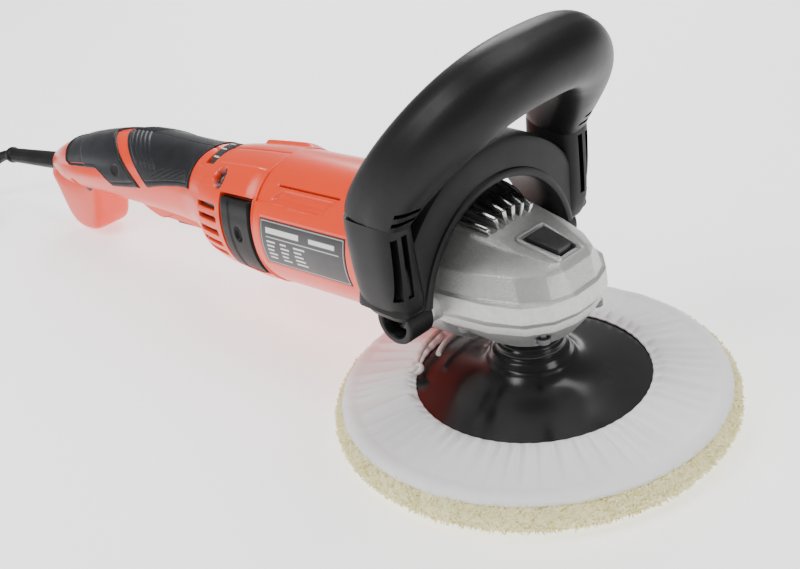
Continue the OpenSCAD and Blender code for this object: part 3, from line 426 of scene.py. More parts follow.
# ovals of the rear handle in mm: distance behind the spindle, middle, half width, half height
ovals = np.array([[158, 0, 36.2, 36.2], [175, 0, 35.6, 35.4], [200, 0, 34, 33.6], [216, 0.5, 31.6, 31.2],
                  [228, 2.5, 27.7, 27.7], [240, 4.5, 24, 25], [262, 5.5, 23, 24.5], [290, 6.5, 23, 24.5],
                  [312, 6.2, 23, 23.7], [336, 5, 22.2, 22.3], [358, 3.2, 21.4, 20.5], [382, 0.5, 19.6, 18.3],
                  [402, -2, 17, 15.5], [417, -4.5, 13, 12], [427, -6.5, 9, 9]])


def toWorld(x, y, z):
    spots = np.stack([(x * tiltCos - z * tiltSin), y, axisHeight + x * tiltSin + z * tiltCos], -1) * mm
    return spots.reshape(-1, 3)


def ovalSpot(back, angle, lift, side):
    soften = np.clip(np.minimum(back - ovals[0, 0], ovals[-1, 0] - back) / 6, 0, 1)
    size = [np.mean([np.interp(back + d * soften, ovals[:, 0], ovals[:, k]) for d in (-6, -3, 0, 3, 6)], axis=0)
            for k in (1, 2, 3)]
    a = np.radians(angle)
    across, upward = [np.sign(wave) * np.abs(wave) ** (1 / 1.1) for wave in (np.cos(a), np.sin(a))]
    return toWorld(-back, side * (size[1] + lift) * across, size[0] + (size[2] + lift) * upward)


def skinPiece(name, spots, shape, finish, replaced, flip, thick=2.2, tube=False, attributes=None, smooth=50,
              keep=None):
    faces = gridFaces(*shape, tube)
    if keep is not None:
        faces = [face for face, kept in zip(faces, keep) if kept]
    if flip:
        faces = [face[::-1] for face in faces]
    piece = makePiece(name, spots, faces, finish, "machine", replaced, smooth, weld=False, turnOut=False,
                      attributes={key: value.reshape(-1) for key, value in attributes.items()})
    wall = piece.modifiers.new("wall", "SOLIDIFY")
    wall.thickness, wall.offset = thick * mm, -1


shellLook = {"step": 1.0, "cowlRise": 2.3, "ventLevels": (10.6, 4.3, -2.0, -8.3, -14.6), "dial": (212.8, 221.2, 63),
             "triggerGap": (242.4, 287, 7.6)}
# where, mm per degree, half sizes, depth and the ends of its wall, darkness of the painted shade inside and the
# ends of its edge
dents = [(194.5, 46.5, 0.6, 5.0, 7.2, 4.4, (0.65, 1.08), 0.97, (0.8, 1.0)),
         (386, -31, 0.34, 4.6, 4.4, 2.6, (0.7, 1.05), 0.9, (0.5, 0.9))]
plateauRise = 1.6  # step from the housing's top down to its sides


def handleLift(back, angle):
    rear = np.interp(angle, [-60, 32, 63], [216, 215, 203])
    cowl = ease(-0.7, 0.7, rear - back) * bump(angle, -62, 64, 1.2)
    lift = np.maximum(shellLook["cowlRise"] * cowl * ease(157.5, 168, back),
                      plateauRise * cowl * ease(-1, 1, 34 - angle))
    shade = np.zeros_like(lift)
    # the recess under the brush cover is darkened with painted shade
    cover = bump(back, 159.4, 188.6, 0.35) * bump(angle, -37.2, 33.4, 0.5)
    lift -= 3.4 * cover
    shade = np.maximum(shade, 0.75 * cover)
    level = 34.5 * np.sin(np.radians(angle))
    # painted shade in the vent grooves
    for centre in shellLook["ventLevels"]:
        vent = bump(level, centre - 1.25, centre + 1.25, 0.35) * bump(back, 194, 211.5, 0.5)
        lift -= 3.0 * vent
        shade = np.maximum(shade, vent)
    # painted shade inside the screw recess and the foot's hole
    for s0, a0, scale, long, tall, depth, wall, dark, rim in dents:
        near = np.hypot((back - s0) / long, (angle - a0) * scale / tall)
        lift -= depth * (1 - ease(*wall, near))
        shade = np.maximum(shade, dark * (1 - ease(*rim, near)))
    d0, d1, top = shellLook["dial"]
    # painted shade in the dial's slot and a little past its edges
    slot = bump(back, d0, d1, 0.35) * ease(top - 0.7, top + 0.7, angle)
    lift -= 5.5 * slot
    shade = np.maximum(shade, bump(back, d0 - 0.3, d1 + 0.3, 0.25) * ease(top - 1.8, top - 0.8, angle))
    lift -= 1.2 * bump(back, 222.5, 229.5, 1.0) * ease(55, 58, angle)
    lift -= 0.35 * ease(88.4, 89.4, np.abs(angle))
    return lift, shade


def makeHandles():
    rows = np.append(np.arange(158.1, 426.9, shellLook["step"]), [427] * 4)
    for side, name in bothSides:
        back, angle = np.meshgrid(rows, np.linspace(-90, 90, 136), indexing="ij")
        lift, shade = handleLift(back, angle)
        lift[-4:] = np.array([0, -0.6, -1.6, -2.4])[:, None]  # the butt end closes in
        spots = ovalSpot(back, angle, lift, side)
        middle = np.array(gridFaces(*back.shape))[:, 0]
        flatBack, flatAngle = back.reshape(-1)[middle], angle.reshape(-1)[middle]
        width = np.abs(spots[middle, 1]) / mm
        first, final, wide = shellLook["triggerGap"]
        gap = (flatBack > first) & (flatBack < final) & (flatAngle < -10) & (width < wide)
        skinPiece("handle_shell_" + name, spots, back.shape, "orange_shell", ["handle_" + name], side > 0,
                  attributes={"shade": shade}, keep=~gap)
        makeFoot(side, name)


def slab(name, outline, steps, rings, side):
    line = smoothLine([(x, 0, z) for x, z in outline + outline[:1]], steps)[:-1]
    centre = sum(line, Vector()) / len(line)
    verts = []
    for out, scale in rings:
        verts += [motorPoint(centre.x + (p.x - centre.x) * scale, side * out, centre.z + (p.z - centre.z) * scale)
                  for p in line]
    makePiece(name, verts, gridFaces(len(rings), len(line), True), "orange_shell", "machine", smooth=40)


def makeFoot(side, name):
    foot = [(-362, -4), (-368, -17), (-373, -30), (-378, -41), (-384, -47.2), (-394, -48.6), (-403, -48),
            (-411, -44.6), (-417, -36), (-422, -20), (-425, -7), (-405, 2), (-375, 4)]
    footRings = [(0, 0.002), (0, 1), (8.6, 1), (10.6, 0.985), (12.2, 0.955), (13.2, 0.91), (13.8, 0.84),
                 (14.1, 0.7), (14.2, 0.002)]
    guard = [(-322, -4), (-312, -14), (-296, -20), (-288.5, -20.4), (-286, -19.5), (-262, -20), (-238, -20.5),
             (-233, -14), (-232, -4)]
    guardRings = [(7.6, 0.002), (7.6, 1), (11.6, 1), (12.6, 0.985), (13, 0.96), (13, 0.002)]
    slab("handle_foot_" + name, foot, 6, footRings, side)
    slab("trigger_guard_" + name, guard, 4, guardRings, side)


def housingLift(back, angle):
    turn = np.where(angle > 90, 180 - angle, angle)
    ridge = np.interp(back, [46, 86, 88.8, 102.7, 109.4, 145, 158], [99, 99, 60.5, 37.7, 33.9, 35.3, 34])
    lift = plateauRise * ease(-0.8, 0.8, ridge - turn)
    shade = np.zeros_like(lift)
    first, final = [np.interp(turn, [38, 48], ends) for ends in ([106, 100], [147, 139.5])]
    side = bump(back, first, final, 0.6) * bump(turn, 38.5, 47.8, 0.7)
    lift -= 1.2 * side
    # the slot along the ledge is darkened with painted shade
    ledge = bump(back, 97, 146, 0.5) * bump(turn, 50.6, 52.2, 0.35)
    lift -= 1.6 * ledge
    shade = np.maximum(shade, 0.55 * ledge)
    lift -= 0.5 * bump(back, 83, 152, 0.3) * bump(turn, -18, 23, 0.5)
    lift -= 0.5 * bump(back, 52, 53.4, 0.3)
    return lift, shade


def makeHousing():
    back, angle = np.meshgrid(np.arange(46, 158.01, 0.8), np.linspace(-90, 270, 301)[:-1], indexing="ij")
    radius = np.interp(back, [46, 46.8, 51, 58, 76, 156.5, 158], [37.2, 38, 38, 37.2, 36.6, 36.6, 36.5])
    lift, shade = housingLift(back, angle)
    a = np.radians(angle)
    spots = toWorld(-back, -(radius + lift) * np.cos(a), (radius + lift) * np.sin(a))
    skinPiece("motor_shell", spots, back.shape, "orange_shell", ["motor_housing"], False, 2.6, True,
              {"shade": shade})
    makeLabel()


def makeLabel():
    look = {"span": (83.6, 151.4), "turn": (-17.4, 22.4)}
    back, angle = np.meshgrid(np.arange(*look["span"], 0.3), np.arange(*look["turn"], 0.42), indexing="ij")
    across, up = back - look["span"][0], (angle - look["turn"][0]) * 0.65
    wide, tall = look["span"][1] - look["span"][0], (look["turn"][1] - look["turn"][0]) * 0.65
    mark = np.zeros_like(back)
    # light bars in mm: from the left edge, width, from the foot, height
    bars = [[5, 27, 18.4, 3.0], [40, 20, 18.6, 2.4], [5, 58, 16.2, 0.4]]
    bars += [[5 + 11 * (k % 2), 7 - (k * 5 % 3), 13.4 - 2.3 * (k // 2), 0.9] for k in range(10)]
    bars += [[27, 9 - (k * 7 % 4), 13.4 - 2.3 * k, 0.9] for k in range(5)]
    for x, w, y, h in bars:
        mark = np.maximum(mark, bump(wide - across, x, x + w, 0.15) * bump(up, y, y + h, 0.15))
    edge = np.minimum(np.minimum(across, wide - across), np.minimum(up, tall - up))
    mark = np.maximum(mark, 0.8 * bump(edge, 1.0, 1.3, 0.1))
    radius = 36.6 + plateauRise - 0.5 + 0.45
    a = np.radians(angle)
    spots = toWorld(-back, -radius * np.cos(a), radius * np.sin(a))
    skinPiece("rating_label", spots, back.shape, "label", ["rating_plate"], False, 0.35, attributes={"mark": mark})


def makeBrushCovers():
    look = {"span": (160.2, 187.8), "turn": (-36, 32), "hole": (172, 2)}
    for side, name in bothSides:
        first, final = look["span"]
        low, high = look["turn"]
        back, angle = np.meshgrid(np.arange(first, final, 0.5), np.linspace(low, high, 84), indexing="ij")
        edge = np.minimum(np.minimum(back - first, final - 0.2 - back), np.minimum(angle - low, high - angle) * 0.6)
        lift = -2.2 + 4.4 * ease(-0.4, 1.6, edge) + 0.8 * ease(14, 26, angle)
        lift += 0.5 * ease(0, 1, (back - 178) / 2)
        s0, a0 = look["hole"]
        # the D-shaped hole is darkened with painted shade
        hole = 1 - ease(0.8, 1.1, np.hypot((back - s0) / 3.4, (angle - a0) * 0.6 / 3.4))
        lift -= 1.6 * hole
        skinPiece("brush_door_" + name, ovalSpot(back, angle, lift, side), back.shape, "black_shell",
                  ["brush_cover_" + name], side > 0, 1.6, attributes={"shade": 0.6 * hole})


def makeGrips():
    look = {"rise": 1.5, "border": 2.6, "ribPitch": 4.7, "ribRise": 0.7}
    for side, name in bothSides:
        for grip in ("front", "rear"):
            t, v = np.meshgrid(np.linspace(0, 1, 130), np.linspace(0, 1, 110), indexing="ij")
            if grip == "front":
                base = 231 + 51 * t
                low = np.interp(base, [231, 281], [20, -1])
                angle = low + (89.7 - low) * v
                first, final = 231 + 0 * angle, 281 + 42 * np.clip(angle, 0, 90) / 90
            else:
                base = 291 + 96 * t
                low = np.interp(base, [291, 328, 338, 380, 387], [-5, -13.5, 9, 10, 20])
                angle = low + (89.7 - low) * v
                first, final = 292 + 45 * np.clip(angle, -10, 90) / 90, 384 + 13 * angle / 90
            back = first * (1 - t) + final * t
            edge = np.minimum(np.minimum(back - first, final - back), (angle - low) * 0.42)
            lift = look["rise"] * ease(-0.5, 1.1, edge) - 0.5
            lift -= 0.35 * bump(edge, look["border"], look["border"] + 0.7, 0.3)
            if grip == "front":
                along = final - back
                ribs = bump(along, 4, 4 + 5 * look["ribPitch"], 0.5) * ease(26, 34, angle)
                lift += ribs * look["ribRise"] * (0.5 - 0.5 * np.cos(2 * math.pi * (along - 4) / look["ribPitch"]))
                fine = bump(angle - low, 9, 22, 1) * bump(back, 238, 272, 1)
                lift -= 0.3 * fine * ease(0.1, 0.9, np.sin((back * 0.6 + angle * 0.5) * 1.9))
            else:
                lift -= 0.7 * ease(0, 1.2, back - np.interp(angle, [0, 90], [352, 378])) * ease(1, 2, edge)
                near = np.hypot((back - 315) / 5.4, (angle - 13) * 0.4 / 3.6)
                lift -= 0.75 * (1 - ease(0.75, 1.05, near))
            # painted shade in the rear grip's screw hole
            shade = np.zeros_like(lift) if grip == "front" else 1 - ease(0.55, 0.95, near)
            skinPiece(grip + "_soft_grip_" + name, ovalSpot(back, angle, lift, side), back.shape, "soft_grip",
                      [grip + "_grip_" + name], side > 0, 1.0, attributes={"shade": shade}, smooth=60)


def makeDial():
    look = {"rise": 13.5, "serrations": 72, "depth": 0.45, "ticks": 18, "steps": 720}
    profile = [(4, 213.3), (17, 213.3), (18.6, 213.7), (19.4, 214.4), (19.4, 215.5), (19.4, 217), (19.4, 218.5),
               (19.4, 219.6), (18.6, 220.3), (17, 220.7), (4, 220.7)]
    verts, mark = [], []
    for radius, back in profile:
        for k, a in enumerate(roundAngles(look["steps"])):
            r = radius
            if radius > 18:
                r -= look["depth"] * float(ease(0.2, 0.8, math.sin(look["serrations"] * a)))
            verts.append(motorPoint(-back, r * math.cos(a), look["rise"] + r * math.sin(a)))
            tick = (k * look["ticks"] / look["steps"]) % 1
            mark.append(1.0 if radius > 19 and tick < 0.13 and 215.4 < back else 0.0)
    makePiece("speed_wheel", verts, gridFaces(len(profile), look["steps"], True, True), "nylon", "dial",
              ["speed_dial"], 40, weld=False, attributes={"mark": mark})


def makeBoot():
    start, end = Vector((-426, 0, 42.4)), Vector((-488, -9, 38))
    ahead = (end - start).normalized()
    across, up = acrossLine(ahead)
    profile = [(3.9, 6), (4, -9), (6.1, -9), (6.1, 0), (6.25, 2.2), (6.3, 5), (6.25, 9), (6.1, 16), (5.9, 26),
               (5.65, 38), (5.4, 50), (5.25, 56), (5.3, 57.4), (5.75, 58.2), (5.95, 59.4), (5.9, 61), (5.5, 62.1),
               (4.6, 62.5), (3.9, 62.1), (3.9, 50)]
    turnedPiece("bend_boot", profile, "cord_rubber", "machine", ["strain_relief"], 64,
                lambda x, y, h: (start + across * x + up * y + ahead * h) * mm)


def besideHead(side):
    return lambda x, y, h: Vector((-27 + x, side * h, 71.5 + y)) * mm


def cutCorners(loop, weights):  # each pass cuts a closed line's corners back a little
    for weight in weights:
        loop = [a.lerp(b, t) for a, b in zip(loop, loop[1:] + loop[:1]) for t in (weight, 1 - weight)]
    return loop


def makeGearHead():
    # outlines of one half at each level, nose first
    look = {"seam": 67.5, "rise": (0, 3.5, 12, 13.4, 23.5)}
    halves = [[(34.5, 6), (31, 17.5), (22, 28), (6, 35), (-14, 38), (-34, 39)],
              [(37, 8), (33, 20), (23, 31), (6, 37), (-14, 39.5), (-34, 40)],
              [(36.6, 7.9), (32.6, 19.8), (22.6, 30.6), (5, 36.6), (-15, 39.4), (-34, 40)],
              [(35, 8.4), (31, 18.8), (20.6, 28.8), (2, 35), (-18, 38.6), (-34, 39.6)],
              [(31.8, 10.4), (27.4, 17.4), (15.5, 25.6), (-1, 32), (-17, 35.6), (-34, 37)]]
    levels = [[look["seam"] + rise + 0.01] * 6 for rise in look["rise"]]
    halves.append([(29, 9.5), (26.5, 11.5), (14, 16), (4, 19), (-20, 22), (-34, 24)])  # the sloping top
    levels.append([94.5, 95, 97.5, 99.5, 104, 106])
    rings = []
    for half, level in zip(halves, levels):
        loop = [Vector((x, y, z)) for (x, y), z in zip(half, level)]
        loop = loop + [Vector((p.x, -p.y, p.z)) for p in loop[::-1]]
        rings.append(cutCorners(loop, (0.06, 0.22, 0.25)))
    skin = [rings[0]]
    for k in range(1, len(rings) - 1):
        before = [a.lerp(b, 0.94) for a, b in zip(rings[k - 1], rings[k])]
        after = [a.lerp(b, 0.05) for a, b in zip(rings[k], rings[k + 1])]
        skin += [before, [0.25 * a + 0.5 * m + 0.25 * c for a, m, c in zip(before, rings[k], after)], after]
    top = rings[-1]
    skin.append([a.lerp(b, 0.9) for a, b in zip(rings[-2], top)])
    inset = [Vector((p.x - 1.4 * (p.x > 20), p.y * 0.93, p.z + 0.15)) for p in top]
    skin.append([0.2 * a + 0.6 * m + 0.2 * c for a, m, c in zip(skin[-1], top, inset)])
    skin += [inset] + [[Vector((p.x, p.y * t, p.z + 0.5 * (1 - t))) for p in inset] for t in (0.7, 0.35, 0.0)]
    skin = [[Vector((p.x, p.y * t, p.z)) for p in rings[0]] for t in (0.0, 0.5)] + skin
    verts = [p * mm for ring in skin for p in ring]
    faces = gridFaces(len(skin), len(skin[0]), True)
    head = makePiece("gear_head_casting", verts, faces, "cast", "machine", ["gear_housing"], 22)
    cutFrom(head, [cutterBox((6.4, -7.3, 84), (26.6, 7.3, 130))])
    smoothPiece(head, 22)
    flange = [(30, 24), (37.6, 24), (38.6, 25), (39, 26.5), (39, 43.6), (38.4, 44.4), (38.4, 45.2), (37.8, 46),
              (30, 46)]
    # painted shade on the flange's upper front face, where the fins shadow it
    shade = [0.93 if back < 25.5 and math.sin(a) > 0.5 else 0 for _, back in flange for a in roundAngles(180)]
    turnedPiece("gear_head_flange", flange, "cast", "machine", (), 180, lambda x, y, h: motorPoint(-h, x, y),
                attributes={"shade": shade})
    boss = [(0, 30), (9, 30), (9, 43.8), (8.2, 44.8), (5, 45), (0, 45)]
    for side, name in bothSides:
        turnedPiece("head_boss_" + name, boss, "cast", "machine", (), 64, besideHead(side))
    makeFins()
    makeLockRim()


def startTree(name, sockets):
    tree = bpy.data.node_groups.new(name, "GeometryNodeTree")
    for socket, kind in sockets.items():
        tree.interface.new_socket(socket, in_out="INPUT", socket_type="NodeSocket" + kind)
    tree.interface.new_socket("Geometry", in_out="OUTPUT", socket_type="NodeSocketGeometry")
    add = nodeAdder(tree)
    return tree, add, add("NodeGroupInput").outputs


def endTree(add, copies, finish):
    real = add("GeometryNodeRealizeInstances", {0: copies})
    paint = add("GeometryNodeSetMaterial", {0: real.outputs[0], "Material": finish})
    add("NodeGroupOutput", {0: paint.outputs[0]})


def finTree():
    sockets = {"Geometry": "Geometry", "Fin count": "Int", "Fin step": "Float", "Finish": "Material"}
    tree, add, given = startTree("finRow", sockets)
    less = add("ShaderNodeMath", {0: given["Fin count"]}, {1: 1}, operation="SUBTRACT")
    middle = add("ShaderNodeMath", {0: less.outputs[0]}, {1: 0.5}, operation="MULTIPLY")
    number = add("GeometryNodeInputIndex")
    offset = add("ShaderNodeMath", {0: number.outputs[0], 1: middle.outputs[0]}, operation="SUBTRACT")
    turn = add("ShaderNodeMath", {0: offset.outputs[0], 1: given["Fin step"]}, operation="MULTIPLY")
    fan = add("ShaderNodeCombineXYZ", {"X": turn.outputs[0]})
    row = add("GeometryNodeMeshLine", {"Count": given["Fin count"]}, {"Offset": (0, 0, 0)})
    copies = add("GeometryNodeInstanceOnPoints",
                 {"Points": row.outputs["Mesh"], "Instance": given["Geometry"], "Rotation": fan.outputs[0]})
    endTree(add, copies.outputs[0], given["Finish"])
    return tree


def runTree(piece, tree, values):
    growth = piece.modifiers.new("growth", "NODES")
    growth.node_group = tree
    for item in tree.interface.items_tree:
        if item.in_out == "INPUT" and item.name in values:
            growth[item.identifier] = values[item.name]
    bakeModifiers(piece)


def makeFins():
    look = {"low": (-26, -1.2, 20), "high": (-4, 1.2, 39.2), "slope": 8.5, "count": 6, "step": 12.5}
    bm = bmesh.new()
    bmesh.ops.create_cube(bm, size=1)
    for v in bm.verts:
        ends = zip(look["low"], look["high"], v.co)
        v.co = Vector([((low + high) / 2 + share * (high - low)) * mm for low, high, share in ends])
        if v.co.z > 30 * mm and v.co.x > -10 * mm:
            v.co.z -= look["slope"] * mm
    bmesh.ops.bevel(bm, geom=bm.edges[:], offset=0.7 * mm, segments=3, affect="EDGES", profile=0.5)
    mesh = bpy.data.meshes.new("head_fins")
    bm.to_mesh(mesh)
    bm.free()
    piece = addObject("head_fins", mesh)
    mesh.materials.append(finishOf["steel"])
    runTree(piece, finTree(), {"Fin count": look["count"], "Fin step": math.radians(look["step"]),
                               "Finish": finishOf["steel"]})
    for v in piece.data.vertices:
        v.co = motorPoint(*(v.co / mm))
    smoothPiece(piece, 40)
    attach(piece, "machine")


def sweep(name, path, section, finish, body):
    verts = []
    for i, spot in enumerate(path):
        t = (path[min(i + 1, len(path) - 1)] - path[max(i - 1, 0)]).normalized()
        u = Vector((0, 0, 1)).cross(t).normalized()
        v = t.cross(u)
        verts += [(spot + u * p[0] + v * p[1]) * mm for p in section]
    makePiece(name, verts, cappedFaces(len(path), len(section)), finish, body, (), 40)


def topLevel(x):
    return float(np.interp(x, [-34, -20, 4, 14, 26.5, 29], [106.4, 104.4, 99.9, 98, 95.6, 95]))


def makeLockRim():
    corner = [(27.4, -6.8), (26, -7.6), (16, -8.6), (7.4, -9.4), (5.2, -8.6), (4.6, -6.4), (4.6, 0)]
    corner += [(x, -y) for x, y in corner[-2::-1]]
    path = smoothLine([(x, y, topLevel(x) - 0.6) for x, y in corner], 5)
    section = [(-1.3, -0.8), (1.3, -0.8), (1.3, 1.0), (1.05, 1.5), (0.5, 1.8), (-0.5, 1.8), (-1.05, 1.5),
               (-1.3, 1.0)]
    sweep("lock_button_rim", path, section, "cast", "machine")
    turn = Matrix.Rotation(math.radians(11), 4, "Y")
    outline = cutCorners([Vector(p) for p in ((-9, -6.6), (9, -4.6), (9, 4.6), (-9, 6.6))], (0.06, 0.25, 0.25))
    verts = []
    rings = [(0, 0.002), (0, 1), (3.4, 1), (4.1, 0.97), (4.4, 0.91), (4.3, 0.84), (3.9, 0.6), (3.6, 0.3),
             (3.5, 0.002)]
    for level, scale in rings:
        verts += [(turn @ Vector((x * scale, y * scale, level)) + Vector((16, 0, 95.3))) * mm for x, y in outline]
    makePiece("lock_button_cap", verts, gridFaces(len(rings), len(outline), True), "nylon",
              "lock_button", ["spindle_lock_button"], 35)
    turnedPiece("lock_pin", [(0, 70), (1.7, 70), (2, 70.4), (2, 97), (0, 97)], "steel", "lock_button", (), 24,
                lambda x, y, h: Vector((16 + x, y, h)) * mm)


barLook = {"rings": 140, "sides": 56, "seam": 0.35, "hand": (16.6, 17), "leg": (9.5, 15)}
archLook = {"centre": 70, "start": 9.5, "sweep": 161, "steps": 120}


def bowed(value, power):  # a cosine or sine bent towards a square outline
    return math.copysign(abs(value) ** power, value)


def barBlend(a):  # 0 at the legs, 1 in the hand
    return min(1, max(math.sin(a), 0) ** 0.7 * 1.25)


def barSize(a):
    k = barBlend(a)
    return [leg * (1 - k) + hand * k for leg, hand in zip(barLook["leg"], barLook["hand"])]


def barMiddle(a):
    h = 70 * math.sin(a) ** 0.8 if math.sin(a) > 0 else 0
    reach = 72.4 - barSize(a)[0]
    return Vector((-27 + 0.7 * h * h / (h + 12), reach * bowed(math.cos(a), 2 / 2.6), 125 + 0.82 * h))


def makeBar():
    rings, sides, step = barLook["rings"], barLook["sides"], 0.03
    verts = []
    for i in range(rings + 1):
        a = math.pi * i / rings
        t = (barMiddle(min(a + step, math.pi)) - barMiddle(max(a - step, 0))).normalized()
        spot = barMiddle(a)
        out = spot - Vector((-27 + 14 * math.sin(a), 0, 121))
        n = (out - t * out.dot(t)).normalized()
        b = t.cross(n)
        wide, deep = barSize(a)
        power = 2 / (3.2 - 1.1 * barBlend(a))
        for j, u in enumerate(roundAngles(sides)):
            groove = barLook["seam"] if j in (0, sides // 2) else 0
            across, along = (wide - groove) * bowed(math.cos(u), power), deep * bowed(math.sin(u), power)
            verts.append((spot + n * across + b * along) * mm)
    bar = makePiece("hand_bar", verts, cappedFaces(rings + 1, sides), "black_shell", "machine",
                    ["d_handle_front", "d_handle_rear"], 50)
    cutFrom(bar, [cutterBox((-15.2, min(sign * 57, sign * 69), z), (0, max(sign * 57, sign * 69), z + 2.2))
                  for sign in (-1, 1) for z in (127.5, 132.5)])
    smoothPiece(bar, 40)


def makeLegs():
    # sections going down: height, middle y, half width, half depth
    look = {"sections": [(127, 62.8, 9.6, 15), (118, 62.6, 9.8, 15.2), (104, 61.8, 9.9, 15.2), (92, 60.6, 9.8, 15),
                         (84, 59.4, 9.4, 14.4), (79, 58.4, 8.6, 13), (76.4, 57.9, 7.2, 11), (75.2, 57.6, 5, 8),
                         (75, 57.4, 0.01, 0.01)],
            "x": -27, "slots": (67.6, 61.8), "slotWide": 3.3, "sides": 72, "power": 2 / 3.6,
            "boss": [(0, 46), (10.2, 46), (11, 46.8), (11, 60.4), (10.4, 61.4), (9.4, 61.6), (7.9, 61.4),
                     (7.4, 60.6), (7.4, 51), (0, 51)],
            "bolt": [(0, 50), (6, 50), (6.2, 50.4), (6.2, 55), (5.6, 55.6), (3.2, 55.6), (3, 55), (3, 53.2),
                     (0, 53.2)]}
    line = smoothLine([s[:3] for s in look["sections"]], 5)
    depth = smoothLine([(s[3], 0, 0) for s in look["sections"]], 5)
    rings = [(line[0].x, line[0].y, 0.01, 0.01)]
    rings += [(p.x, p.y, max(p.z, 0.01), max(d.x, 0.01)) for p, d in zip(line, depth)]
    for sign, name in bothSides:
        verts = []
        for level, middle, wide, deep in rings:
            for a in roundAngles(look["sides"]):
                x = look["x"] + deep * bowed(math.cos(a), look["power"])
                y = sign * (middle + wide * bowed(math.sin(a), look["power"]))
                verts.append(Vector((x, y, level)) * mm)
        faces = gridFaces(len(rings), look["sides"], True)
        leg = makePiece("handle_leg_" + name, verts, faces, "black_shell", "machine", smooth=40)
        cutters = []
        for y in look["slots"]:
            low, high = sorted(sign * (y + shift * look["slotWide"] / 2) for shift in (-1, 1))
            cutters.append(cutterBox((-20, low, 90), (0, high, 121)))
        cutFrom(leg, cutters)
        smoothPiece(leg, 40)
        turnedPiece("leg_lug_" + name, look["boss"], "black_shell", "machine", (), 72, besideHead(sign))
        replaced = ["d_handle_bolts"] if sign < 0 else ()
        turnedPiece("leg_bolt_" + name, look["bolt"], "steel", "machine", replaced, 72, besideHead(sign))


def makeArch():
    # radius and x round the arch's cross-section, its inner lip towards the nose
    section = [(50, -42), (50, -13), (50.4, -12.3), (51.4, -12), (53, -12), (54, -12.5), (54.4, -13.4), (66, -13.6),
               (68.6, -14.6), (70, -17), (70, -38.6), (69, -41), (67, -42), (51.4, -42)]
    verts = []
    for i in range(archLook["steps"] + 1):
        a = math.radians(archLook["start"] + archLook["sweep"] * i / archLook["steps"])
        verts += [Vector((x, r * math.cos(a), archLook["centre"] + r * math.sin(a))) * mm for r, x in section]
    faces = cappedFaces(archLook["steps"] + 1, len(section))
    makePiece("handle_arch", verts, faces, "black_shell", "machine", smooth=35)


# radius and height along the pad's back, from the rim in
padTop = [(89, 17), (60, 20), (42, 23.5), (30, 27), (23, 31.5), (19, 37), (16.5, 42), (16.5, 46.5)]


def onPad(radius):
    radii, levels = zip(*padTop[-2::-1])
    return np.interp(radius, radii, levels)


def makePad():
    look = {"grooves": ((33.5, 1.0), (38.5, 1.1), (43, 0.9)), "steps": 160}
    top = [(p.x, p.y) for p in smoothLine([(x, z, 0) for x, z in padTop], 9)]
    profile = [(0, 12), (86, 12), (88.2, 12.6), (89, 14), (89, 16.2), (88.5, 16.9)]
    for radius, level in top[1:]:
        for centre, depth in look["grooves"]:
            radius -= depth * float(bump(level, centre - 0.7, centre + 0.7, 0.4))
        profile.append((radius, level))
    profile += [(15.6, 46.5), (14, 46.5), (0, 46.5)]
    turnedPiece("rubber_pad", profile, "pad_rubber", "spindle_group", ["backing_pad"], look["steps"], smooth=50)


def wander(value, seed):
    return noise.noise(Vector((value, seed * 7.3, seed * 1.7)))


def makeCloth():
    look = {"hem": 57.8, "edge": 95.6, "folds": 58, "foldRise": 3.6, "rows": 46, "columns": 720, "flatWide": 0.216,
            "holeRadius": 0.058}
    verts, threads = [], []
    columns, rows = look["columns"], look["rows"]
    phase = []
    for a in roundAngles(columns):
        spot = Vector((math.cos(a) * 3.2, math.sin(a) * 3.2, 0))
        tall = 0.55 + 0.75 * (0.5 + noise.noise(spot * 2.4 + Vector((9, 2, 4))))
        phase.append((look["folds"] * a + 5.2 * noise.noise(spot), tall, a))
    for i in range(rows):
        t = i / (rows - 1)
        radius = look["hem"] + (look["edge"] - look["hem"]) * t
        for turn, tall, a in phase:
            lean = turn + 1.6 * t * wander(a * 6, 3)
            ridge = (0.5 + 0.5 * math.sin(lean)) ** 1.3
            small = 0.5 + 0.5 * math.sin(lean * 2.17 + 1.3)
            fade = (1 - t) ** 1.15 * float(ease(0.0, 0.16, t))
            rise = look["foldRise"] * tall * fade * ridge + 0.35 * small * fade
            rise += 0.5 * math.exp(-((t - 0.9) / 0.1) ** 2) * (0.6 + 0.4 * math.sin(turn * 0.5))
            r = radius + 0.1 * math.sin(lean) * (1 - t) ** 3
            if radius < 88:
                base = float(onPad(r)) + 1.5
            else:
                base = float(np.interp(radius, [88, 90.5, 92.6, 94.4, 95.6], [18.9, 19.1, 18.6, 17.4, 15.6]))
            if i < 3:  # the hem is rolled under
                base -= (3 - i) * 0.25
                rise *= 0.5 + 0.17 * i
            verts.append(Vector((r * math.cos(a), r * math.sin(a), base + rise)) * mm)
            threads.append((a / (2 * math.pi) * 2.2, t * 2.2))
    faces = gridFaces(rows, columns, True)
    piece = makePiece("bonnet_backing", verts, faces, "cloth", "spindle_group", ["bonnet_cloth"], 80, weld=False,
                      turnOut=False)
    layer = piece.data.uv_layers.new(name="threads")
    for loop in piece.data.loops:
        layer.data[loop.index].uv = threads[loop.vertex_index]
    if piece.data.polygons[0].normal.z < 0:
        piece.data.flip_normals()
    wall = piece.modifiers.new("wall", "SOLIDIFY")
    wall.thickness, wall.offset = 0.8 * mm, -1


